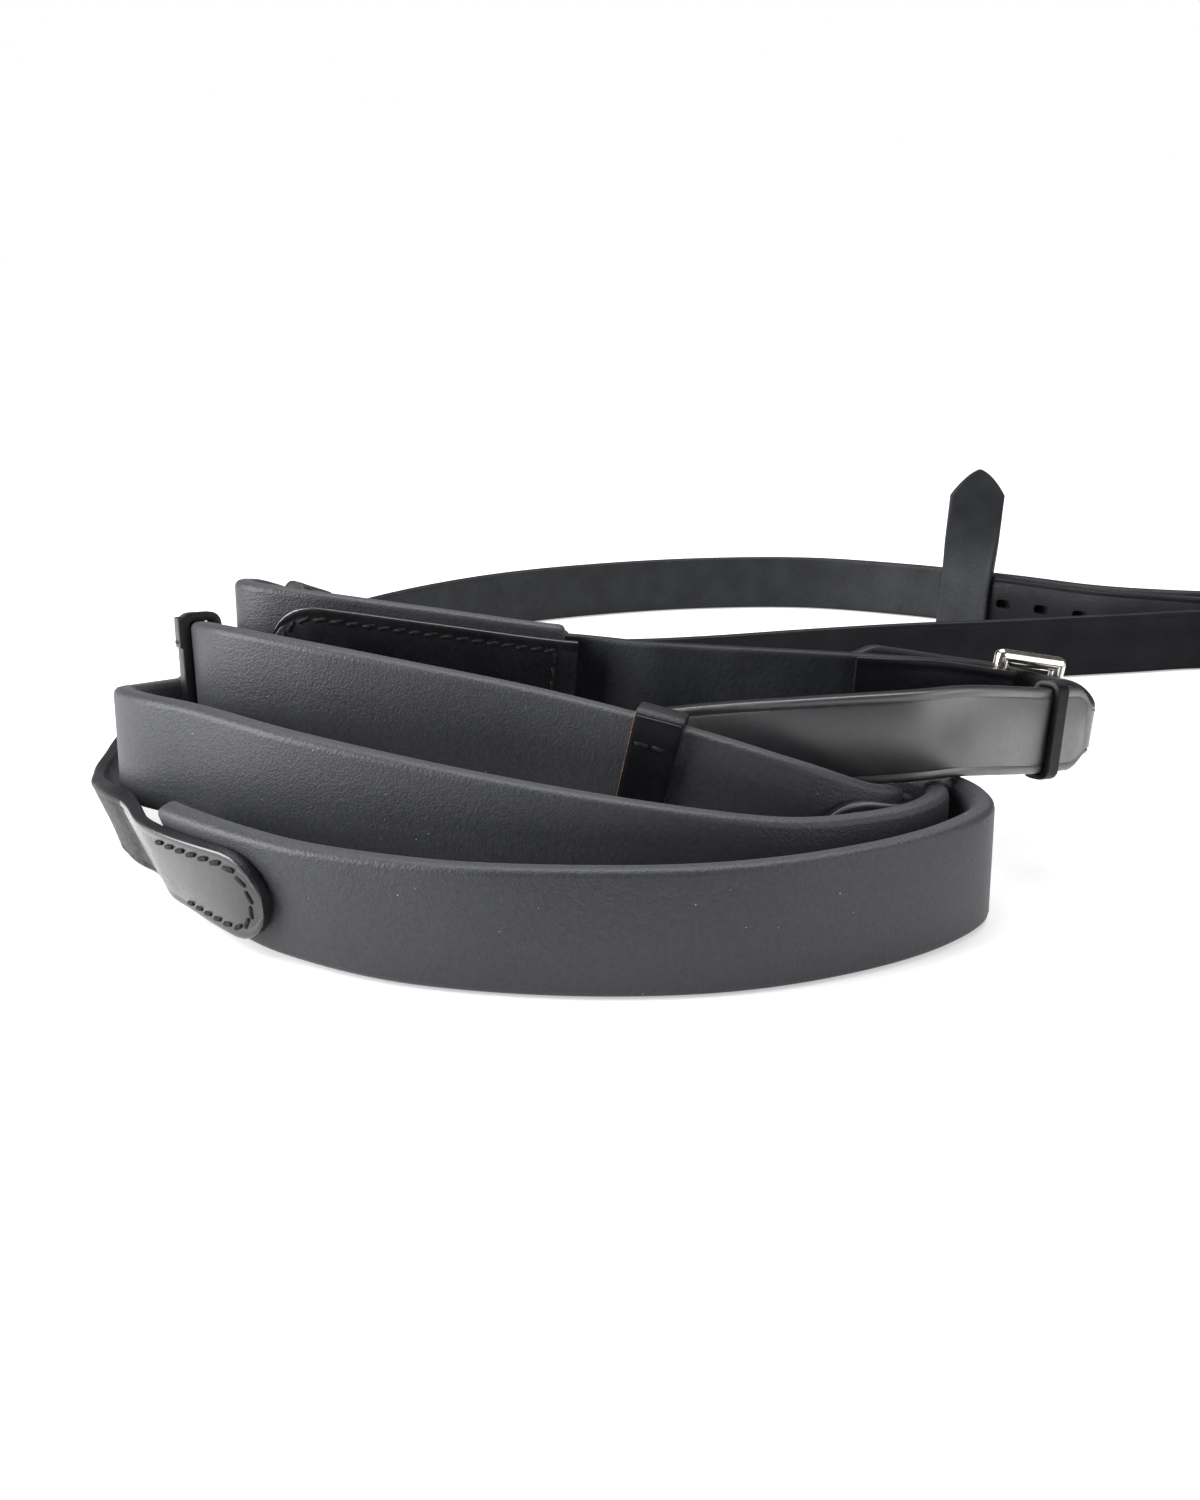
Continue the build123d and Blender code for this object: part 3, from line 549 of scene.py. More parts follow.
# Rein B: hairpin, toe bar, window, heel bar and the end that is left over.
gone = end_b[0] - heel
start_along, start_out, lift = gone.dot(H_ALONG), gone.dot(H_OUT), gone.dot(H_TOP)
dip = math.asin(max(0.1, -end_b[1].dot(H_OUT)))
turn_at = BUCKLE_LENGTH + 0.2
room = start_out - UNDER_TOE - math.tan(dip) * (turn_at - start_along)
turn_r = room / (1 + 1 / math.cos(dip))
lead = (turn_at - start_along + turn_r * math.sin(dip)) / math.cos(dip)
steps = [(start_along + lead * math.cos(dip), start_out - lead * math.sin(dip))]
for k in range(1, 25):
    heading = -dip - (math.pi - dip) * k / 24
    steps.append((
        turn_at - turn_r * math.sin(heading), UNDER_TOE + turn_r * (1 + math.cos(heading)),
    ))
crossing = math.asin((UNDER_TOE + OVER_HEEL) / BUCKLE_LENGTH)
for k in range(1, 9):
    angle = crossing * k / 8
    steps.append((BUCKLE_LENGTH - UNDER_TOE * math.sin(angle), UNDER_TOE * math.cos(angle)))
toe_step = len(steps) - 1
for k in range(9):
    angle = crossing * (1 - k / 8)
    steps.append((OVER_HEEL * math.sin(angle), -OVER_HEEL * math.cos(angle)))
steps += [(-TAIL * reach, -OVER_HEEL) for reach in (0.25, 0.5, 0.75, 1.0)]
lay_count = len(path_b.middles)
for k, (along, out) in enumerate(steps):
    share = ease((k + 1) / 16)
    path_b.middles.append(heel + H_ALONG * along + H_OUT * out + H_TOP * lift * (1 - share))
    path_b.tops.append((end_b[3] * (1 - share) + H_TOP * share).normalized())
add_fold(path_b, SIDE["b"])
cross_mark = path_b.marks[FOLD_STEPS + lay_count + toe_step]
PATHS = {"a": path_a, "b": path_b}
GRIP = {"a": (555.0, 1107.5), "b": (578.5, 1131.0)}
HAND_END = {"a": HAND_END_A, "b": HAND_END_B}
for name, path in PATHS.items():
    print(f"rein {name} lay {HAND_END[name]:.1f} mm, with its turns {path.length:.1f} mm")
print("hairpin radius", round(turn_r, 2), "heel", [round(v, 2) for v in heel])

# %% [markdown]
# Every strap starts as a box with X along it, Z up it and Y towards the inside of the
# coil. Its long edges are bevelled, as an edge tool does on leather. Cuts across its face
# give it a row of points for each crease line, and subdivision gives it enough rings to
# bend. A shaping function then moves points to round a tongue, thin it or step it out.

# %% Tools for cutting a strap
def select_only(*pieces):
    """Selects these pieces and nothing else, and makes the first one active."""
    bpy.ops.object.select_all(action="DESELECT")
    for piece in pieces:
        piece.select_set(True)
    bpy.context.view_layer.objects.active = pieces[0]


def new_box(name, size, middle=(0, 0, 0)):
    """A box, with its size and its middle in millimetres."""
    bpy.ops.object.select_all(action="DESELECT")
    bpy.ops.mesh.primitive_cube_add(size=MM, location=[m * MM for m in middle])
    box = bpy.context.object
    box.name = box.data.name = name
    box.scale = size
    bpy.ops.object.transform_apply(location=True, rotation=False, scale=True)
    return box


def pick_edges(piece, test):
    """Selects edges in edit mode by their run from end to end."""
    bpy.ops.object.mode_set(mode="EDIT")
    bpy.ops.mesh.select_mode(type="EDGE")
    bpy.ops.mesh.select_all(action="DESELECT")
    mesh = bmesh.from_edit_mesh(piece.data)
    for edge in mesh.edges:
        a, b = (v.co for v in edge.verts)
        if test((b - a).normalized()):
            edge.select_set(True)
    bmesh.update_edit_mesh(piece.data)


def lengthwise(run):
    return abs(run.x) > 0.95


def cut_strip(name, start, end, width, thick, corner=0.7, step=1.3, creases=(), blunt=False):
    """A flat strip from one length along the strap to another."""
    piece = new_box(name, (end - start, thick, width), ((start + end) / 2, 0, 0))
    pick_edges(piece, lambda run: blunt or abs(run.x) > 0.95)
    bpy.ops.mesh.bevel(offset=corner * MM, segments=3, affect="EDGES")
    for z in creases:
        bpy.ops.mesh.select_all(action="SELECT")
        bpy.ops.mesh.bisect(plane_co=(0, 0, z * MM), plane_no=(0, 0, 1))
    count = max(2, (end - start) / step)
    first = max(1, round(math.sqrt(count)))
    for cuts in (first, max(1, round(count / (first + 1)) - 1)):
        pick_edges(piece, lengthwise)
        bpy.ops.mesh.subdivide(number_cuts=cuts)
    bpy.ops.object.mode_set(mode="OBJECT")
    return piece


def shape(piece, move):
    """Moves every point of a flat piece: move takes and gives x, y, z in millimetres."""
    for vertex in piece.data.vertices:
        vertex.co = Vector(move(*(vertex.co / MM))) * MM
    piece.data.update()


WIDTH, THICK = 16.0, 3.0            # of every strap
HALF = WIDTH / 2
CREASE_Z = HALF - 1.7               # crease line to the middle of the strap
CREASE_ROWS = [side * (CREASE_Z + d) for side in (-1, 1) for d in (-0.45, 0, 0.45)]


def press_creases(piece, grain_y, depth=0.2):
    """Presses a crease line into the grain face, along both edges."""
    def move(x, y, z):
        on_line = abs(abs(z) - CREASE_Z) < 0.05 and y * grain_y > 0
        return (x, y - grain_y * depth if on_line else y, z)

    shape(piece, move)


def round_end(x, z, tip, inward, keep=2.4):
    """Rounds the end of a strap at "tip". Inward is the way from the tip into the strap."""
    d = (x - tip) * inward
    if d >= HALF:
        return x, z
    turn = math.pi / 2 * max(d, 0.0) / HALF
    wide = HALF * max(math.sin(turn), 0.16)
    x = tip + inward * HALF * (1 - math.cos(turn))
    edge = HALF - abs(z)
    if wide > keep and edge < keep:
        return x, math.copysign(wide - edge, z)
    share = (wide - keep) / (HALF - keep) if wide > keep else wide / HALF
    return x, z * share


def cut_hole(piece, cutter):
    """Punches a hole: the cutter's shape is taken away, then the cutter is deleted."""
    modifier = piece.modifiers.new("hole", "BOOLEAN")
    modifier.operation = "DIFFERENCE"
    modifier.solver = "EXACT"
    modifier.object = cutter
    select_only(piece)
    bpy.ops.object.modifier_apply(modifier="hole")
    bpy.data.objects.remove(cutter)


def slot_cutter(x, length, height):
    """A box with round ends, for a slot through a strap."""
    cutter = new_box("cutter", (length, 12, height), (x, 0, 0))
    pick_edges(cutter, lambda run: abs(run.y) > 0.95)
    bpy.ops.mesh.bevel(offset=height * 0.45 * MM, segments=4, affect="EDGES")
    bpy.ops.object.mode_set(mode="OBJECT")
    return cutter


# %% [markdown]
# Faces are given their finish while the strap is still flat, when the direction that a
# face looks in tells what it is: grain, flesh or cut edge. The flat place of each point
# is stored too, so that the grain of a material follows the strap round the coil. Then
# a Curve modifier bends the strap onto its path, as a saddler bends it by hand.

# %% Tools for finishing and laying a strap
def paint(piece, face, edge=None, back=None, grain_y=1):
    """Face on the grain side, edge on the cut edges and back on the flesh side."""
    piece.data.materials.clear()
    for material in (face, edge or face, back or face):
        piece.data.materials.append(material)
    for polygon in piece.data.polygons:
        normal = polygon.normal
        if abs(normal.z) > 0.75 or abs(normal.x) > 0.75:
            polygon.material_index = 1
        elif normal.y * grain_y < 0:
            polygon.material_index = 2


def polish(piece, start, end, material):
    """Gives the grain face between two lengths a slicker finish."""
    piece.data.materials.append(material)
    for polygon in piece.data.polygons:
        if polygon.material_index == 0 and start < polygon.center.x / MM < end:
            polygon.material_index = 3


def store_flat(piece):
    flat = piece.data.attributes.new("flat", "FLOAT_VECTOR", "POINT")
    places = [c for vertex in piece.data.vertices for c in vertex.co]
    flat.data.foreach_set("vector", places)


def lay_on(piece, path):
    """Bends a flat piece onto a path. X is then the length along the path."""
    store_flat(piece)
    select_only(piece)
    piece.location.x = -path.marks[0] * MM
    bpy.ops.object.transform_apply(location=True, rotation=False, scale=False)
    bend = path.curve()
    modifier = piece.modifiers.new("lay", "CURVE")
    modifier.object = bend
    modifier.deform_axis = "POS_X"
    bpy.ops.object.modifier_apply(modifier="lay")
    curve = bend.data
    bpy.data.objects.remove(bend)
    bpy.data.curves.remove(curve)
    return piece


def finish(piece, body, slot, *nodes):
    """Smooths a laid piece, ties it to its body and hides the plain solids it replaces."""
    select_only(piece)
    bpy.ops.object.shade_smooth_by_angle(angle=math.radians(38))
    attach(piece, body)
    if nodes:
        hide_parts(*nodes)
    print(f"{piece.name:24s} {len(piece.data.polygons):6d} faces")


def join(name, parts):
    """Joins separate solids, such as the stitches of one row, into one piece."""
    select_only(*parts)
    bpy.ops.object.join()
    parts[0].name = parts[0].data.name = name
    return parts[0]


# %% [markdown]
# The grip is a flat sleeve of rubber over webbing, wider than the leather. Moulded rubber
# has soft edges and ends, so all edges of the box are rounded before it is divided.

# %% Rubber grips
GRIP_WIDTH, GRIP_THICK = 20.5, 4.0
for name, path in PATHS.items():
    grip = cut_strip(f"grip_{name}", *GRIP[name], GRIP_WIDTH, GRIP_THICK, corner=1.25, blunt=True)
    paint(grip, RUBBER)
    lay_on(grip, path)
    finish(grip, "reins", "grip_rubber", f"grip_cover_{name}", f"grip_core_{name}")

# %% [markdown]
# The bit strap is one piece of leather: the half ring round the bit, the strap, and a
# thin tongue stitched to the grip. The tongue is skived, which means shaved thinner on
# its back, so that it steps out onto the grip without a lump. A punched hole takes the
# shank of the hook stud.

# %% Bit straps
TONGUE_THICK, LAY_GAP = 2.2, 0.25
BIT_TONGUE, HAND_TONGUE, SKIVE_RUN = 26.0, 55.0, 18.0
TONGUE_OFFSET = GRIP_THICK / 2 + LAY_GAP + TONGUE_THICK / 2
STUD_AT, STUD_HOLE_R = {"a": 59.34, "b": 62.94}, 1.75
RUBBED_BEFORE = 16.0                # rubbed leather ahead of the grip


def tongue(piece, tip, grip_edge, outward, right):
    """Rounds a tongue and steps it out onto the grip. Outward is the way off the grip."""
    def move(x, y, z):
        on_grip = 1 - ease(((x - grip_edge) * outward - 2.0) / SKIVE_RUN)
        x, z = round_end(x, z, tip, outward)
        thin = 1 + (TONGUE_THICK / THICK - 1) * on_grip
        return x, y * thin - right * TONGUE_OFFSET * on_grip, z

    shape(piece, move)


for name, path in PATHS.items():
    grain_y = -RIGHT[name]
    tip = GRIP[name][0] + BIT_TONGUE
    piece = cut_strip(
        f"bit_strap_{name}", path.marks[0], tip, WIDTH, THICK,
        creases=CREASE_ROWS,
    )
    press_creases(piece, grain_y)
    bpy.ops.object.select_all(action="DESELECT")
    bpy.ops.mesh.primitive_cylinder_add(
        radius=STUD_HOLE_R * MM, depth=8 * MM, location=(STUD_AT[name] * MM, 0, 0),
        rotation=(math.pi / 2, 0, 0), vertices=24,
    )
    cut_hole(piece, bpy.context.object)
    paint(piece, GRAIN, EDGE, FLESH, grain_y)
    polish(piece, GRIP[name][0] - RUBBED_BEFORE, tip, POLISHED)
    tongue(piece, tip, GRIP[name][0], -1, RIGHT[name])
    lay_on(piece, path)
    finish(piece, "reins", "bridle_leather", f"bit_strap_{name}")

# %% [markdown]
# Liners back each joint on the other face of the grip. They are thin, with one round end.

# %% Liners of the joints
PATCH_THICK = 1.5
PATCH_OFFSET = GRIP_THICK / 2 + LAY_GAP + PATCH_THICK / 2
for name, path in PATHS.items():
    start, end = GRIP[name]
    for place, low, high, tip, inward in (
        ("bit", start - 3, start + BIT_TONGUE, start + BIT_TONGUE, -1),
        ("hand", end - HAND_TONGUE, end + 3, end - HAND_TONGUE, 1),
    ):
        liner = cut_strip(
            f"{place}_liner_{name}", low, high, WIDTH, PATCH_THICK, corner=0.45,
            step=1.0, creases=CREASE_ROWS,
        )
        press_creases(liner, RIGHT[name], 0.12)

        def move(x, y, z):
            x, z = round_end(x, z, tip, inward)
            return x, y + RIGHT[name] * PATCH_OFFSET, z

        shape(liner, move)
        paint(liner, POLISHED, EDGE, FLESH, RIGHT[name])
        lay_on(liner, path)
        finish(liner, "reins", "bridle_leather", f"{place}_patch_{name}")

# %% [markdown]
# Rein A's hand strap ends in a chape: thin leather that wraps the buckle's heel bar and
# comes back along the strap, where it is stitched. A slot at the fold lets the prong
# through. Rein B's hand strap runs through the buckle and has a hole for the prong.

# %% Hand straps
CHAPE_THICK, BILLET_HAND_THICK = 1.8, 2.6
CHAPE_SLOT = 3.4
PRONG_HOLE_PAST, PRONG_HOLE = 5.71, (6.4, 2.8)  # past the crossing; its sizes
piece = cut_strip(
    "hand_strap_a", GRIP["a"][1] - HAND_TONGUE, path_a.length, WIDTH, THICK, step=0.8,
    creases=CREASE_ROWS,
)
press_creases(piece, 1)
# The prong's slot goes round the bar, into both legs of the chape.
slot_start = HAND_END_A + 0.32
slot_end = HAND_END_A + HEEL_AHEAD + math.pi * CHAPE_MIDDLE + 3.13
cut_hole(piece, slot_cutter((slot_start + slot_end) / 2, slot_end - slot_start, CHAPE_SLOT))
paint(piece, GRAIN, EDGE, FLESH, 1)
tongue(piece, GRIP["a"][1] - HAND_TONGUE, GRIP["a"][1], 1, RIGHT["a"])


def thin_chape(x, y, z):
    on_bar = ease((x - HAND_END_A + CHAPE_EASE) / CHAPE_EASE)
    return x, y * (1 + (CHAPE_THICK / THICK - 1) * on_bar), z


shape(piece, thin_chape)
lay_on(piece, path_a)
finish(piece, "reins", "bridle_leather", "hand_strap_a")

piece = cut_strip(
    "hand_strap_b", GRIP["b"][1] - HAND_TONGUE, path_b.length, WIDTH, THICK, step=0.8,
    creases=CREASE_ROWS,
)
press_creases(piece, -1)
cut_hole(piece, slot_cutter(cross_mark + PRONG_HOLE_PAST, *PRONG_HOLE))
paint(piece, GRAIN, EDGE, FLESH, -1)
polish(piece, GRIP["b"][1] - HAND_TONGUE, path_b.length, BUFFED)
tongue(piece, GRIP["b"][1] - HAND_TONGUE, GRIP["b"][1], 1, RIGHT["b"])


HAIRPIN = (HAND_END_B - 2, HAND_END_B + 5.5, HAND_END_B + 15)


def thin_billet(x, y, z):
    thin = ease((x - HAND_END_B) / 12)
    point = 1 - 0.3 * ease((x - path_b.length + 6) / 6)
    start, apex, stop = HAIRPIN
    near = ease((x - start) / (apex - start)) * ease((stop - x) / (stop - apex))
    # Leather that is bent hard bulges in the middle and draws in at its edges.
    draw_in = 1 - 0.4 * near * near
    bulge = 1 + 0.35 * near * (1 - (z / HALF) ** 2)
    return x, y * (1 + (BILLET_HAND_THICK / THICK - 1) * thin) * bulge, z * point * draw_in


shape(piece, thin_billet)
lay_on(piece, path_b)
finish(piece, "reins", "bridle_leather", "hand_strap_b")

# %% [markdown]
# Billets fold back round the bit ring and hook on their studs. Each is a strap with
# three slots and a pointed end. Billet B's free end is folded upright, so its leg and
# its tip are cut apart here and joined at the corner.

# %% Billets
BILLET_THICK = 2.6
SLOT_PITCH, SLOT_SIZE = 13.0, (5.0, 2.6)
BILLET_A_LENGTH, BILLET_A_SLOT = 106.0, 82.6    # and the place of its last slot
BILLET_B_SLOT = 21.0                # last slot to the corner
TIP_HEIGHT, TIP_STEPS = 47.4, 23    # upright tip


def pointed(x, z, end, length=7.5):
    """Narrows a billet to a blunt point, with more rings where the point is rounder."""
    share = min(max((end - x) / length, 0.0), 1.0)
    if share < 1:
        x = end - length * share ** 1.5
        share = share ** 1.5
    return x, z * max(share ** 0.62, 0.06)


def billet(name, start, end, slots, grain_y, tip=None):
    piece = cut_strip(
        name, start, end, WIDTH, BILLET_THICK, step=0.9, creases=CREASE_ROWS,
    )
    press_creases(piece, grain_y)
    for x in slots:
        cut_hole(piece, slot_cutter(x, *SLOT_SIZE))
    paint(piece, GRAIN, EDGE, FLESH, grain_y)
    if tip:
        shape(piece, lambda x, y, z: (pointed(x, z, tip)[0], y, pointed(x, z, tip)[1]))
    return piece


root_a = Vector((40.25, -140.8, 9.7))
line_a = Path([(root_a + Vector((x, 0, 0)), 0) for x in range(-4, 111, 2)], -4.0)
slots = [BILLET_A_SLOT - i * SLOT_PITCH for i in range(3)]
piece = billet("billet_a", 0.0, BILLET_A_LENGTH, slots, -1, tip=BILLET_A_LENGTH)
lay_on(piece, line_a)
finish(piece, "billet_a", "bridle_leather", "billet_a")

line_b = Path(smooth_lay(BILLET_B))
end = line_b.length
slots = [end - BILLET_B_SLOT - i * SLOT_PITCH for i in range(3)]
leg = billet("billet_b", 0.3, end, slots, 1)
lay_on(leg, line_b)
middle, along, out, top = line_b.at(end - HALF)
foot = middle - out * (BILLET_THICK - 0.15) - top * HALF
swing = math.asin(along.y)
rise = []
for k in range(TIP_STEPS + 1):
    h = TIP_HEIGHT * k / TIP_STEPS
    turn = swing * (1 - 0.85 * ease((h - WIDTH) / 20))
    across = Vector((math.cos(math.pi - turn), math.sin(math.pi - turn), 0))
    rise.append((foot + Vector((math.sin(math.radians(4)) * ease(h / 20) * h, 0, h)), across))
tip = billet("billet_b_tip", 0.0, TIP_HEIGHT, [], -1, tip=TIP_HEIGHT)
store_flat(tip)
for vertex in tip.data.vertices:
    x, y, z = vertex.co / MM
    k = min(max(TIP_STEPS * x / TIP_HEIGHT, 0), TIP_STEPS - 0.001)
    low, share = int(k), k - int(k)
    place = rise[low][0].lerp(rise[low + 1][0], share)
    across = rise[low][1].lerp(rise[low + 1][1], share).normalized()
    up = (rise[low + 1][0] - rise[low][0]).normalized()
    facing = across.cross(up).normalized()
    vertex.co = (place + across * z + facing * -y) * MM
tip.data.update()
piece = join("billet_b", [leg, tip])
finish(piece, "billet_b", "bridle_leather", "billet_b")

# %% [markdown]
# A keeper is a loop of leather that holds a loose end. It starts as a box with rounded
# long edges. Its ends are taken off and Solidify gives the rest the leather's thickness,
# inwards, so that the outside size stays right.

# %% Keepers
KEEPER_WALL, KEEPER_CLEAR = 1.3, 0.35
KEEPER_LENGTH, HAND_KEEPER_LENGTH = 9.0, 4.0
FIXED_KEEPER_AT = {"a": 16.2, "b": 17.98}
RUNNING_KEEPER_AT = {"a": 37.76, "b": 40.34}
HAND_KEEPER_AT = 1377.77
BILLET_ROOM = BILLET_THICK + 0.8    # for a billet, with play


def loop(name, at, length, deep, tall, wall, middle_y=0.0, corner=1.3, rings=6):
    """A band of leather with an oblong hole. Deep and tall are the hole's sizes."""
    piece = new_box(name, (length, deep + 2 * wall, tall + 2 * wall), (at, middle_y, 0))
    pick_edges(piece, lengthwise)
    bpy.ops.mesh.bevel(offset=corner * MM, segments=4, affect="EDGES")
    bpy.ops.mesh.select_mode(type="FACE")
    bpy.ops.mesh.select_all(action="DESELECT")
    mesh = bmesh.from_edit_mesh(piece.data)
    for face in mesh.faces:
        face.select_set(abs(face.normal.x) > 0.9)
    bmesh.update_edit_mesh(piece.data)
    bpy.ops.mesh.delete(type="FACE")
    pick_edges(piece, lengthwise)
    bpy.ops.mesh.subdivide(number_cuts=rings)
    bpy.ops.object.mode_set(mode="OBJECT")
    solid = piece.modifiers.new("wall", "SOLIDIFY")
    solid.thickness = wall * MM
    solid.offset = -1
    solid.use_even_offset = True
    soft = piece.modifiers.new("soft", "BEVEL")
    soft.width = 0.3 * MM
    soft.segments = 2
    soft.limit_method = "ANGLE"
    soft.angle_limit = math.radians(60)
    select_only(piece)
    for modifier in ("wall", "soft"):
        bpy.ops.object.modifier_apply(modifier=modifier)
    return piece


for name, path in PATHS.items():
    for kind, at, body in (
        ("bit_fixed_keeper", FIXED_KEEPER_AT[name], "reins"),
        ("bit_running_keeper", RUNNING_KEEPER_AT[name], f"running_keeper_{name}"),
    ):
        piece = loop(
            f"{kind}_{name}", at, KEEPER_LENGTH, THICK + 2 * KEEPER_CLEAR + BILLET_ROOM,
            WIDTH + 2 * KEEPER_CLEAR, KEEPER_WALL, middle_y=-SIDE[name] * BILLET_ROOM / 2,
        )
        paint(piece, GRAIN, EDGE)
        lay_on(piece, path)
        finish(piece, body, "bridle_leather", f"{kind}_{name}")
piece = loop(
    "hand_keeper", HAND_KEEPER_AT, HAND_KEEPER_LENGTH, THICK + 0.3, WIDTH + 0.3,
    KEEPER_WALL - 0.2, corner=1.9,
)
paint(piece, GRAIN, EDGE)
lay_on(piece, path_b)
finish(piece, "hand_keeper", "bridle_leather", "hand_keeper")

# %% [markdown]
# Hand stops are bands of leather stitched tight round the grip, for the fingers to rest
# against. They are made like keepers, with a stitched overlap on the outer face. One cut
# end of each band was left undyed, so the brown of the hide shows there.

# %% Hand stops
STOP_LENGTH, STOP_WALL, STOP_CLEAR = 8.0, 1.4, 0.35
STOP_PITCH, STOP_FROM_END = 94.0, 83.5
FLAP_THICK, FLAP_TALL, FLAP_AT = 1.0, 5.8, 8.4  # overlap, and its middle up the face
STOPS = {
    name: [GRIP[name][1] - STOP_FROM_END - STOP_PITCH, GRIP[name][1] - STOP_FROM_END]
    for name in PATHS
}
for name, path in PATHS.items():
    for i, at in enumerate(STOPS[name]):
        wall = STOP_WALL + STOP_CLEAR - 0.05
        band = loop(
            f"hand_stop_{name}_{i + 1}", at, STOP_LENGTH, GRIP_THICK + 0.1, GRIP_WIDTH + 0.1,
            wall, corner=2.2,
        )
        # The overlap: the band's outer end lies over its inner end, a quarter down the face.
        face = -RIGHT[name] * (GRIP_THICK / 2 + STOP_CLEAR + STOP_WALL)
        size = (STOP_LENGTH - 0.3, FLAP_THICK, FLAP_TALL)
        flap = new_box("flap", size, (at, face * 0.97, FLAP_AT))
        pick_edges(flap, lambda run: True)
        bpy.ops.mesh.bevel(offset=0.35 * MM, segments=3, affect="EDGES")
        pick_edges(flap, lengthwise)
        bpy.ops.mesh.subdivide(number_cuts=5)
        bpy.ops.object.mode_set(mode="OBJECT")
        for part in (band, flap):
            paint(part, GRAIN, EDGE)
            part.data.materials.append(RAW_EDGE)
            for polygon in part.data.polygons:
                if polygon.normal.x < -0.75:
                    polygon.material_index = 3
        piece = join(band.name, [band, flap])
        lay_on(piece, path)
        finish(piece, "reins", "bridle_leather", f"hand_stop_{name}_{i + 1}")

# %% [markdown]
# Hand stitching is modelled stitch by stitch. One stitch is a short rounded rod sunk in
# the leather. It is made once and copied along the line that the awl would follow: up
# one side of the tongue, round its tip and back. At the hand end a row goes straight
# across too, and each hand stop has a short row along its overlap.

# %% Stitching
STITCH_LENGTH, STITCH_PITCH, STITCH_R = 2.5, 2.9, 0.42
FLAP_ROW, FLAP_ROW_AT = 6.8, 6.6    # length and height of the row on a stop's overlap
bpy.ops.object.select_all(action="DESELECT")
bpy.ops.mesh.primitive_uv_sphere_add(segments=10, ring_count=6, radius=STITCH_R * MM)
master = bpy.context.object
master.name = "stitch"
for vertex in master.data.vertices:
    if abs(vertex.co.x) > 1e-7:
        vertex.co.x += math.copysign((STITCH_LENGTH / 2 - STITCH_R) * MM, vertex.co.x)
master.data.materials.append(THREAD)


def stitch_row(points, y, slant=math.radians(14)):
    """Stitches along a line of (x, z) points, at height y of the flat strap."""
    marks = [0.0]
    for a, b in zip(points, points[1:]):
        marks.append(marks[-1] + math.dist(a, b))
    made = []
    for k in range(int(marks[-1] // STITCH_PITCH)):
        ends = []
        for s in (k * STITCH_PITCH + 0.35, k * STITCH_PITCH + 0.35 + STITCH_LENGTH):
            i = min(max(bisect.bisect_right(marks, s) - 1, 0), len(points) - 2)
            f = (s - marks[i]) / (marks[i + 1] - marks[i])
            ends.append([p + (q - p) * f for p, q in zip(points[i], points[i + 1])])
        (x0, z0), (x1, z1) = ends
        stitch = master.copy()
        stitch.data = master.data.copy()
        bpy.context.scene.collection.objects.link(stitch)
        stitch.data.transform(
            Matrix.Translation(Vector(((x0 + x1) / 2, y, (z0 + z1) / 2)) * MM)
            @ Matrix.Rotation(-math.atan2(z1 - z0, x1 - x0) - slant, 4, "Y")
        )
        made.append(stitch)
    return made


def tongue_line(tip, end, inward, inset=2.2):
    """From the end up one side, round the tip and back down the other side."""
    r = HALF - inset
    centre = tip + inward * HALF
    arc = [
        (centre - inward * r * math.sin(math.pi * k / 12), r * math.cos(math.pi * k / 12))
        for k in range(13)
    ]
    return [(end, r), *arc, (end, -r)]


for name, path in PATHS.items():
    start, end = GRIP[name]
    y_face = -RIGHT[name] * (GRIP_THICK / 2 + LAY_GAP + TONGUE_THICK - 0.05)
    y_back = RIGHT[name] * (GRIP_THICK / 2 + LAY_GAP + PATCH_THICK - 0.05)
    rows = []
    for y in (y_face, y_back):
        rows += stitch_row(tongue_line(start + BIT_TONGUE, start + 1, -1), y)
    row = join(f"stitching_bit_tongue_{name}", rows)
    lay_on(row, path)
    finish(row, "reins", "bridle_leather")
    rows = []
    for y in (y_face, y_back):
        rows += stitch_row(tongue_line(end - HAND_TONGUE, end - 1, 1), y)
        rows += stitch_row([(end - 1.5, -5.8), (end - 1.5, 5.8)], y)
    row = join(f"stitching_hand_tongue_{name}", rows)
    lay_on(row, path)
    finish(row, "reins", "bridle_leather")
    y_flap = -RIGHT[name] * (GRIP_THICK / 2 + STOP_CLEAR + STOP_WALL + 0.2)
    for i, at in enumerate(STOPS[name]):
        row = join(
            f"stitching_hand_stop_{name}_{i + 1}",
            stitch_row(
                [(at - FLAP_ROW / 2, FLAP_ROW_AT), (at + FLAP_ROW / 2, FLAP_ROW_AT)],
                y_flap, slant=0.0,
            ),
        )
        lay_on(row, path)
        finish(row, "reins", "bridle_leather")
bpy.data.objects.remove(master)

# %% [markdown]
# The coil stands on a plain white table in soft studio light. A large lamp on the left
# does most of the work, one overhead lights the top edges, and a weak one fills the
# right. The world and the table look white to the camera, but the light that the world
# gives is lower, so that black leather keeps its depth.

# %% Floor, light and world
def either_ray(tree, first, *others):
    """One for a ray of these kinds, else zero."""
    rays = add_node(tree, "ShaderNodeLightPath").outputs
    total = rays[f"Is {first} Ray"]
    for kind in others:
        total = add_node(
            tree, "ShaderNodeMath", {0: total, 1: rays[f"Is {kind} Ray"]}, operation="ADD",
        ).outputs[0]
    return total


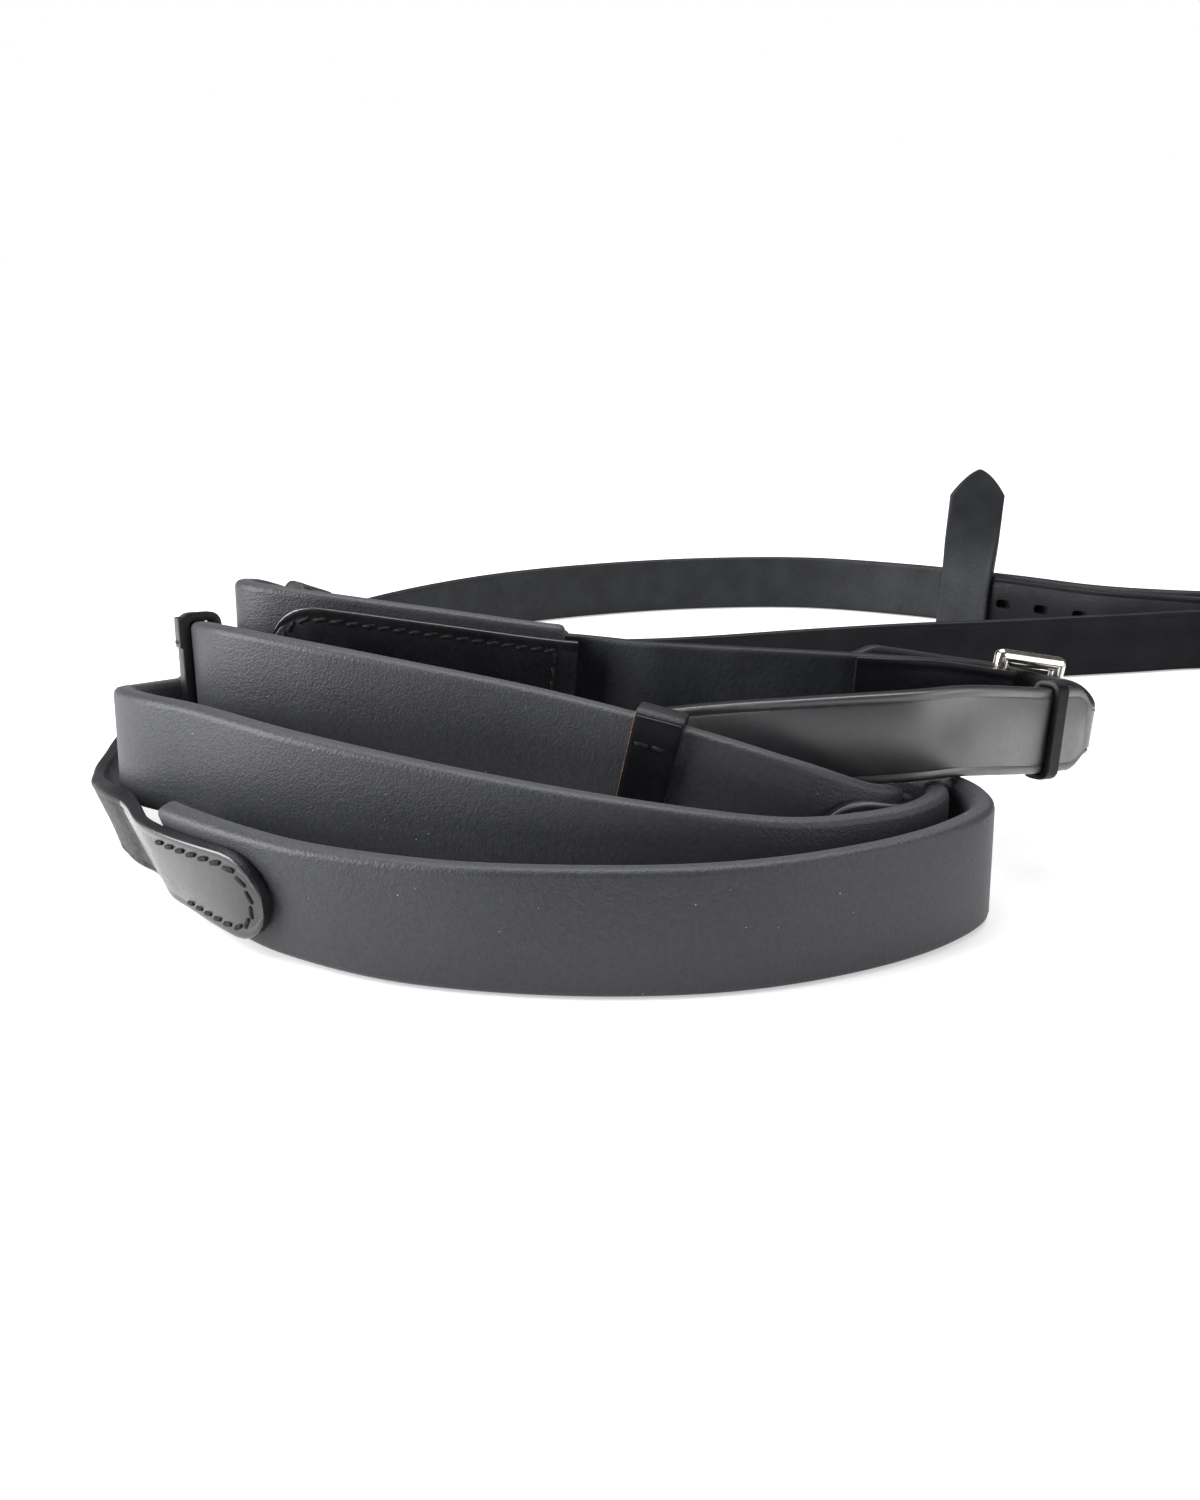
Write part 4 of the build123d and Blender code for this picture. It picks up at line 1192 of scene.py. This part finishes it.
bpy.ops.object.select_all(action="DESELECT")
bpy.ops.mesh.primitive_plane_add(size=40, location=(0, 15, -0.0002))
floor = bpy.context.object
floor.name = "floor"
floor_material, tree = start_material("white_table")
matte = add_node(tree, "ShaderNodeBsdfDiffuse", {"Color": srgb("#d6d6d6")})
place = add_node(tree, "ShaderNodeNewGeometry").outputs["Position"]
reach = add_node(tree, "ShaderNodeVectorMath", {0: place}, operation="LENGTH")
level = add_node(
    tree, "ShaderNodeMapRange",
    {
        "Value": reach.outputs["Value"], "From Min": 0.4, "From Max": 1.4,
        "To Min": 0.45, "To Max": 1.0,
    },
)
glow = add_node(
    tree, "ShaderNodeEmission", {"Color": (1, 1, 1, 1), "Strength": level.outputs["Result"]},
)
both = add_node(tree, "ShaderNodeAddShader", {0: matte.outputs[0], 1: glow.outputs[0]})
direct = either_ray(tree, "Camera", "Glossy", "Transmission")
seen = add_node(
    tree, "ShaderNodeMixShader", {0: direct, 1: matte.outputs[0], 2: both.outputs[0]},
)
add_node(tree, "ShaderNodeOutputMaterial", {"Surface": seen.outputs[0]})
floor.data.materials.append(floor_material)
floor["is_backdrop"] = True

world = bpy.data.worlds.new("studio")
bpy.context.scene.world = world
world.use_nodes = True
tree = world.node_tree
tree.nodes.clear()
white = add_node(tree, "ShaderNodeBackground", {"Color": (1, 1, 1, 1), "Strength": 1.0})
soft = add_node(tree, "ShaderNodeBackground", {"Color": (1, 1, 1, 1), "Strength": 0.12})
direct = either_ray(tree, "Camera", "Transmission")
seen = add_node(
    tree, "ShaderNodeMixShader", {0: direct, 1: soft.outputs[0], 2: white.outputs[0]},
)
add_node(tree, "ShaderNodeOutputWorld", {"Surface": seen.outputs[0]})


def area_light(name, at, towards, size, power):
    data = bpy.data.lights.new(name, "AREA")
    data.shape = "RECTANGLE"
    data.size, data.size_y = size
    data.energy = power
    lamp = bpy.data.objects.new(name, data)
    lamp.location = at
    lamp.rotation_euler = (Vector(towards) - Vector(at)).to_track_quat("-Z", "Y").to_euler()
    bpy.context.scene.collection.objects.link(lamp)


area_light("left_softbox", (-0.95, -0.3, 0.45), (0, 0, 0), (0.8, 0.8), 21)
area_light("overhead_softbox", (0.0, 0.2, 1.0), (0, 0, 0), (0.9, 0.9), 12)
area_light("right_softbox", (0.85, -0.42, 0.3), (0, 0, 0.02), (1.1, 0.9), 7)

# %% [markdown]
# The size of what shows and the size of the CAD solids are printed one above the other.

# %% Sizes and finish
shown_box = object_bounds()
for label, corners in (("CAD", cad_box), ("shown", shown_box)):
    print(label, [[round(v * 1000, 1) for v in corner] for corner in corners])
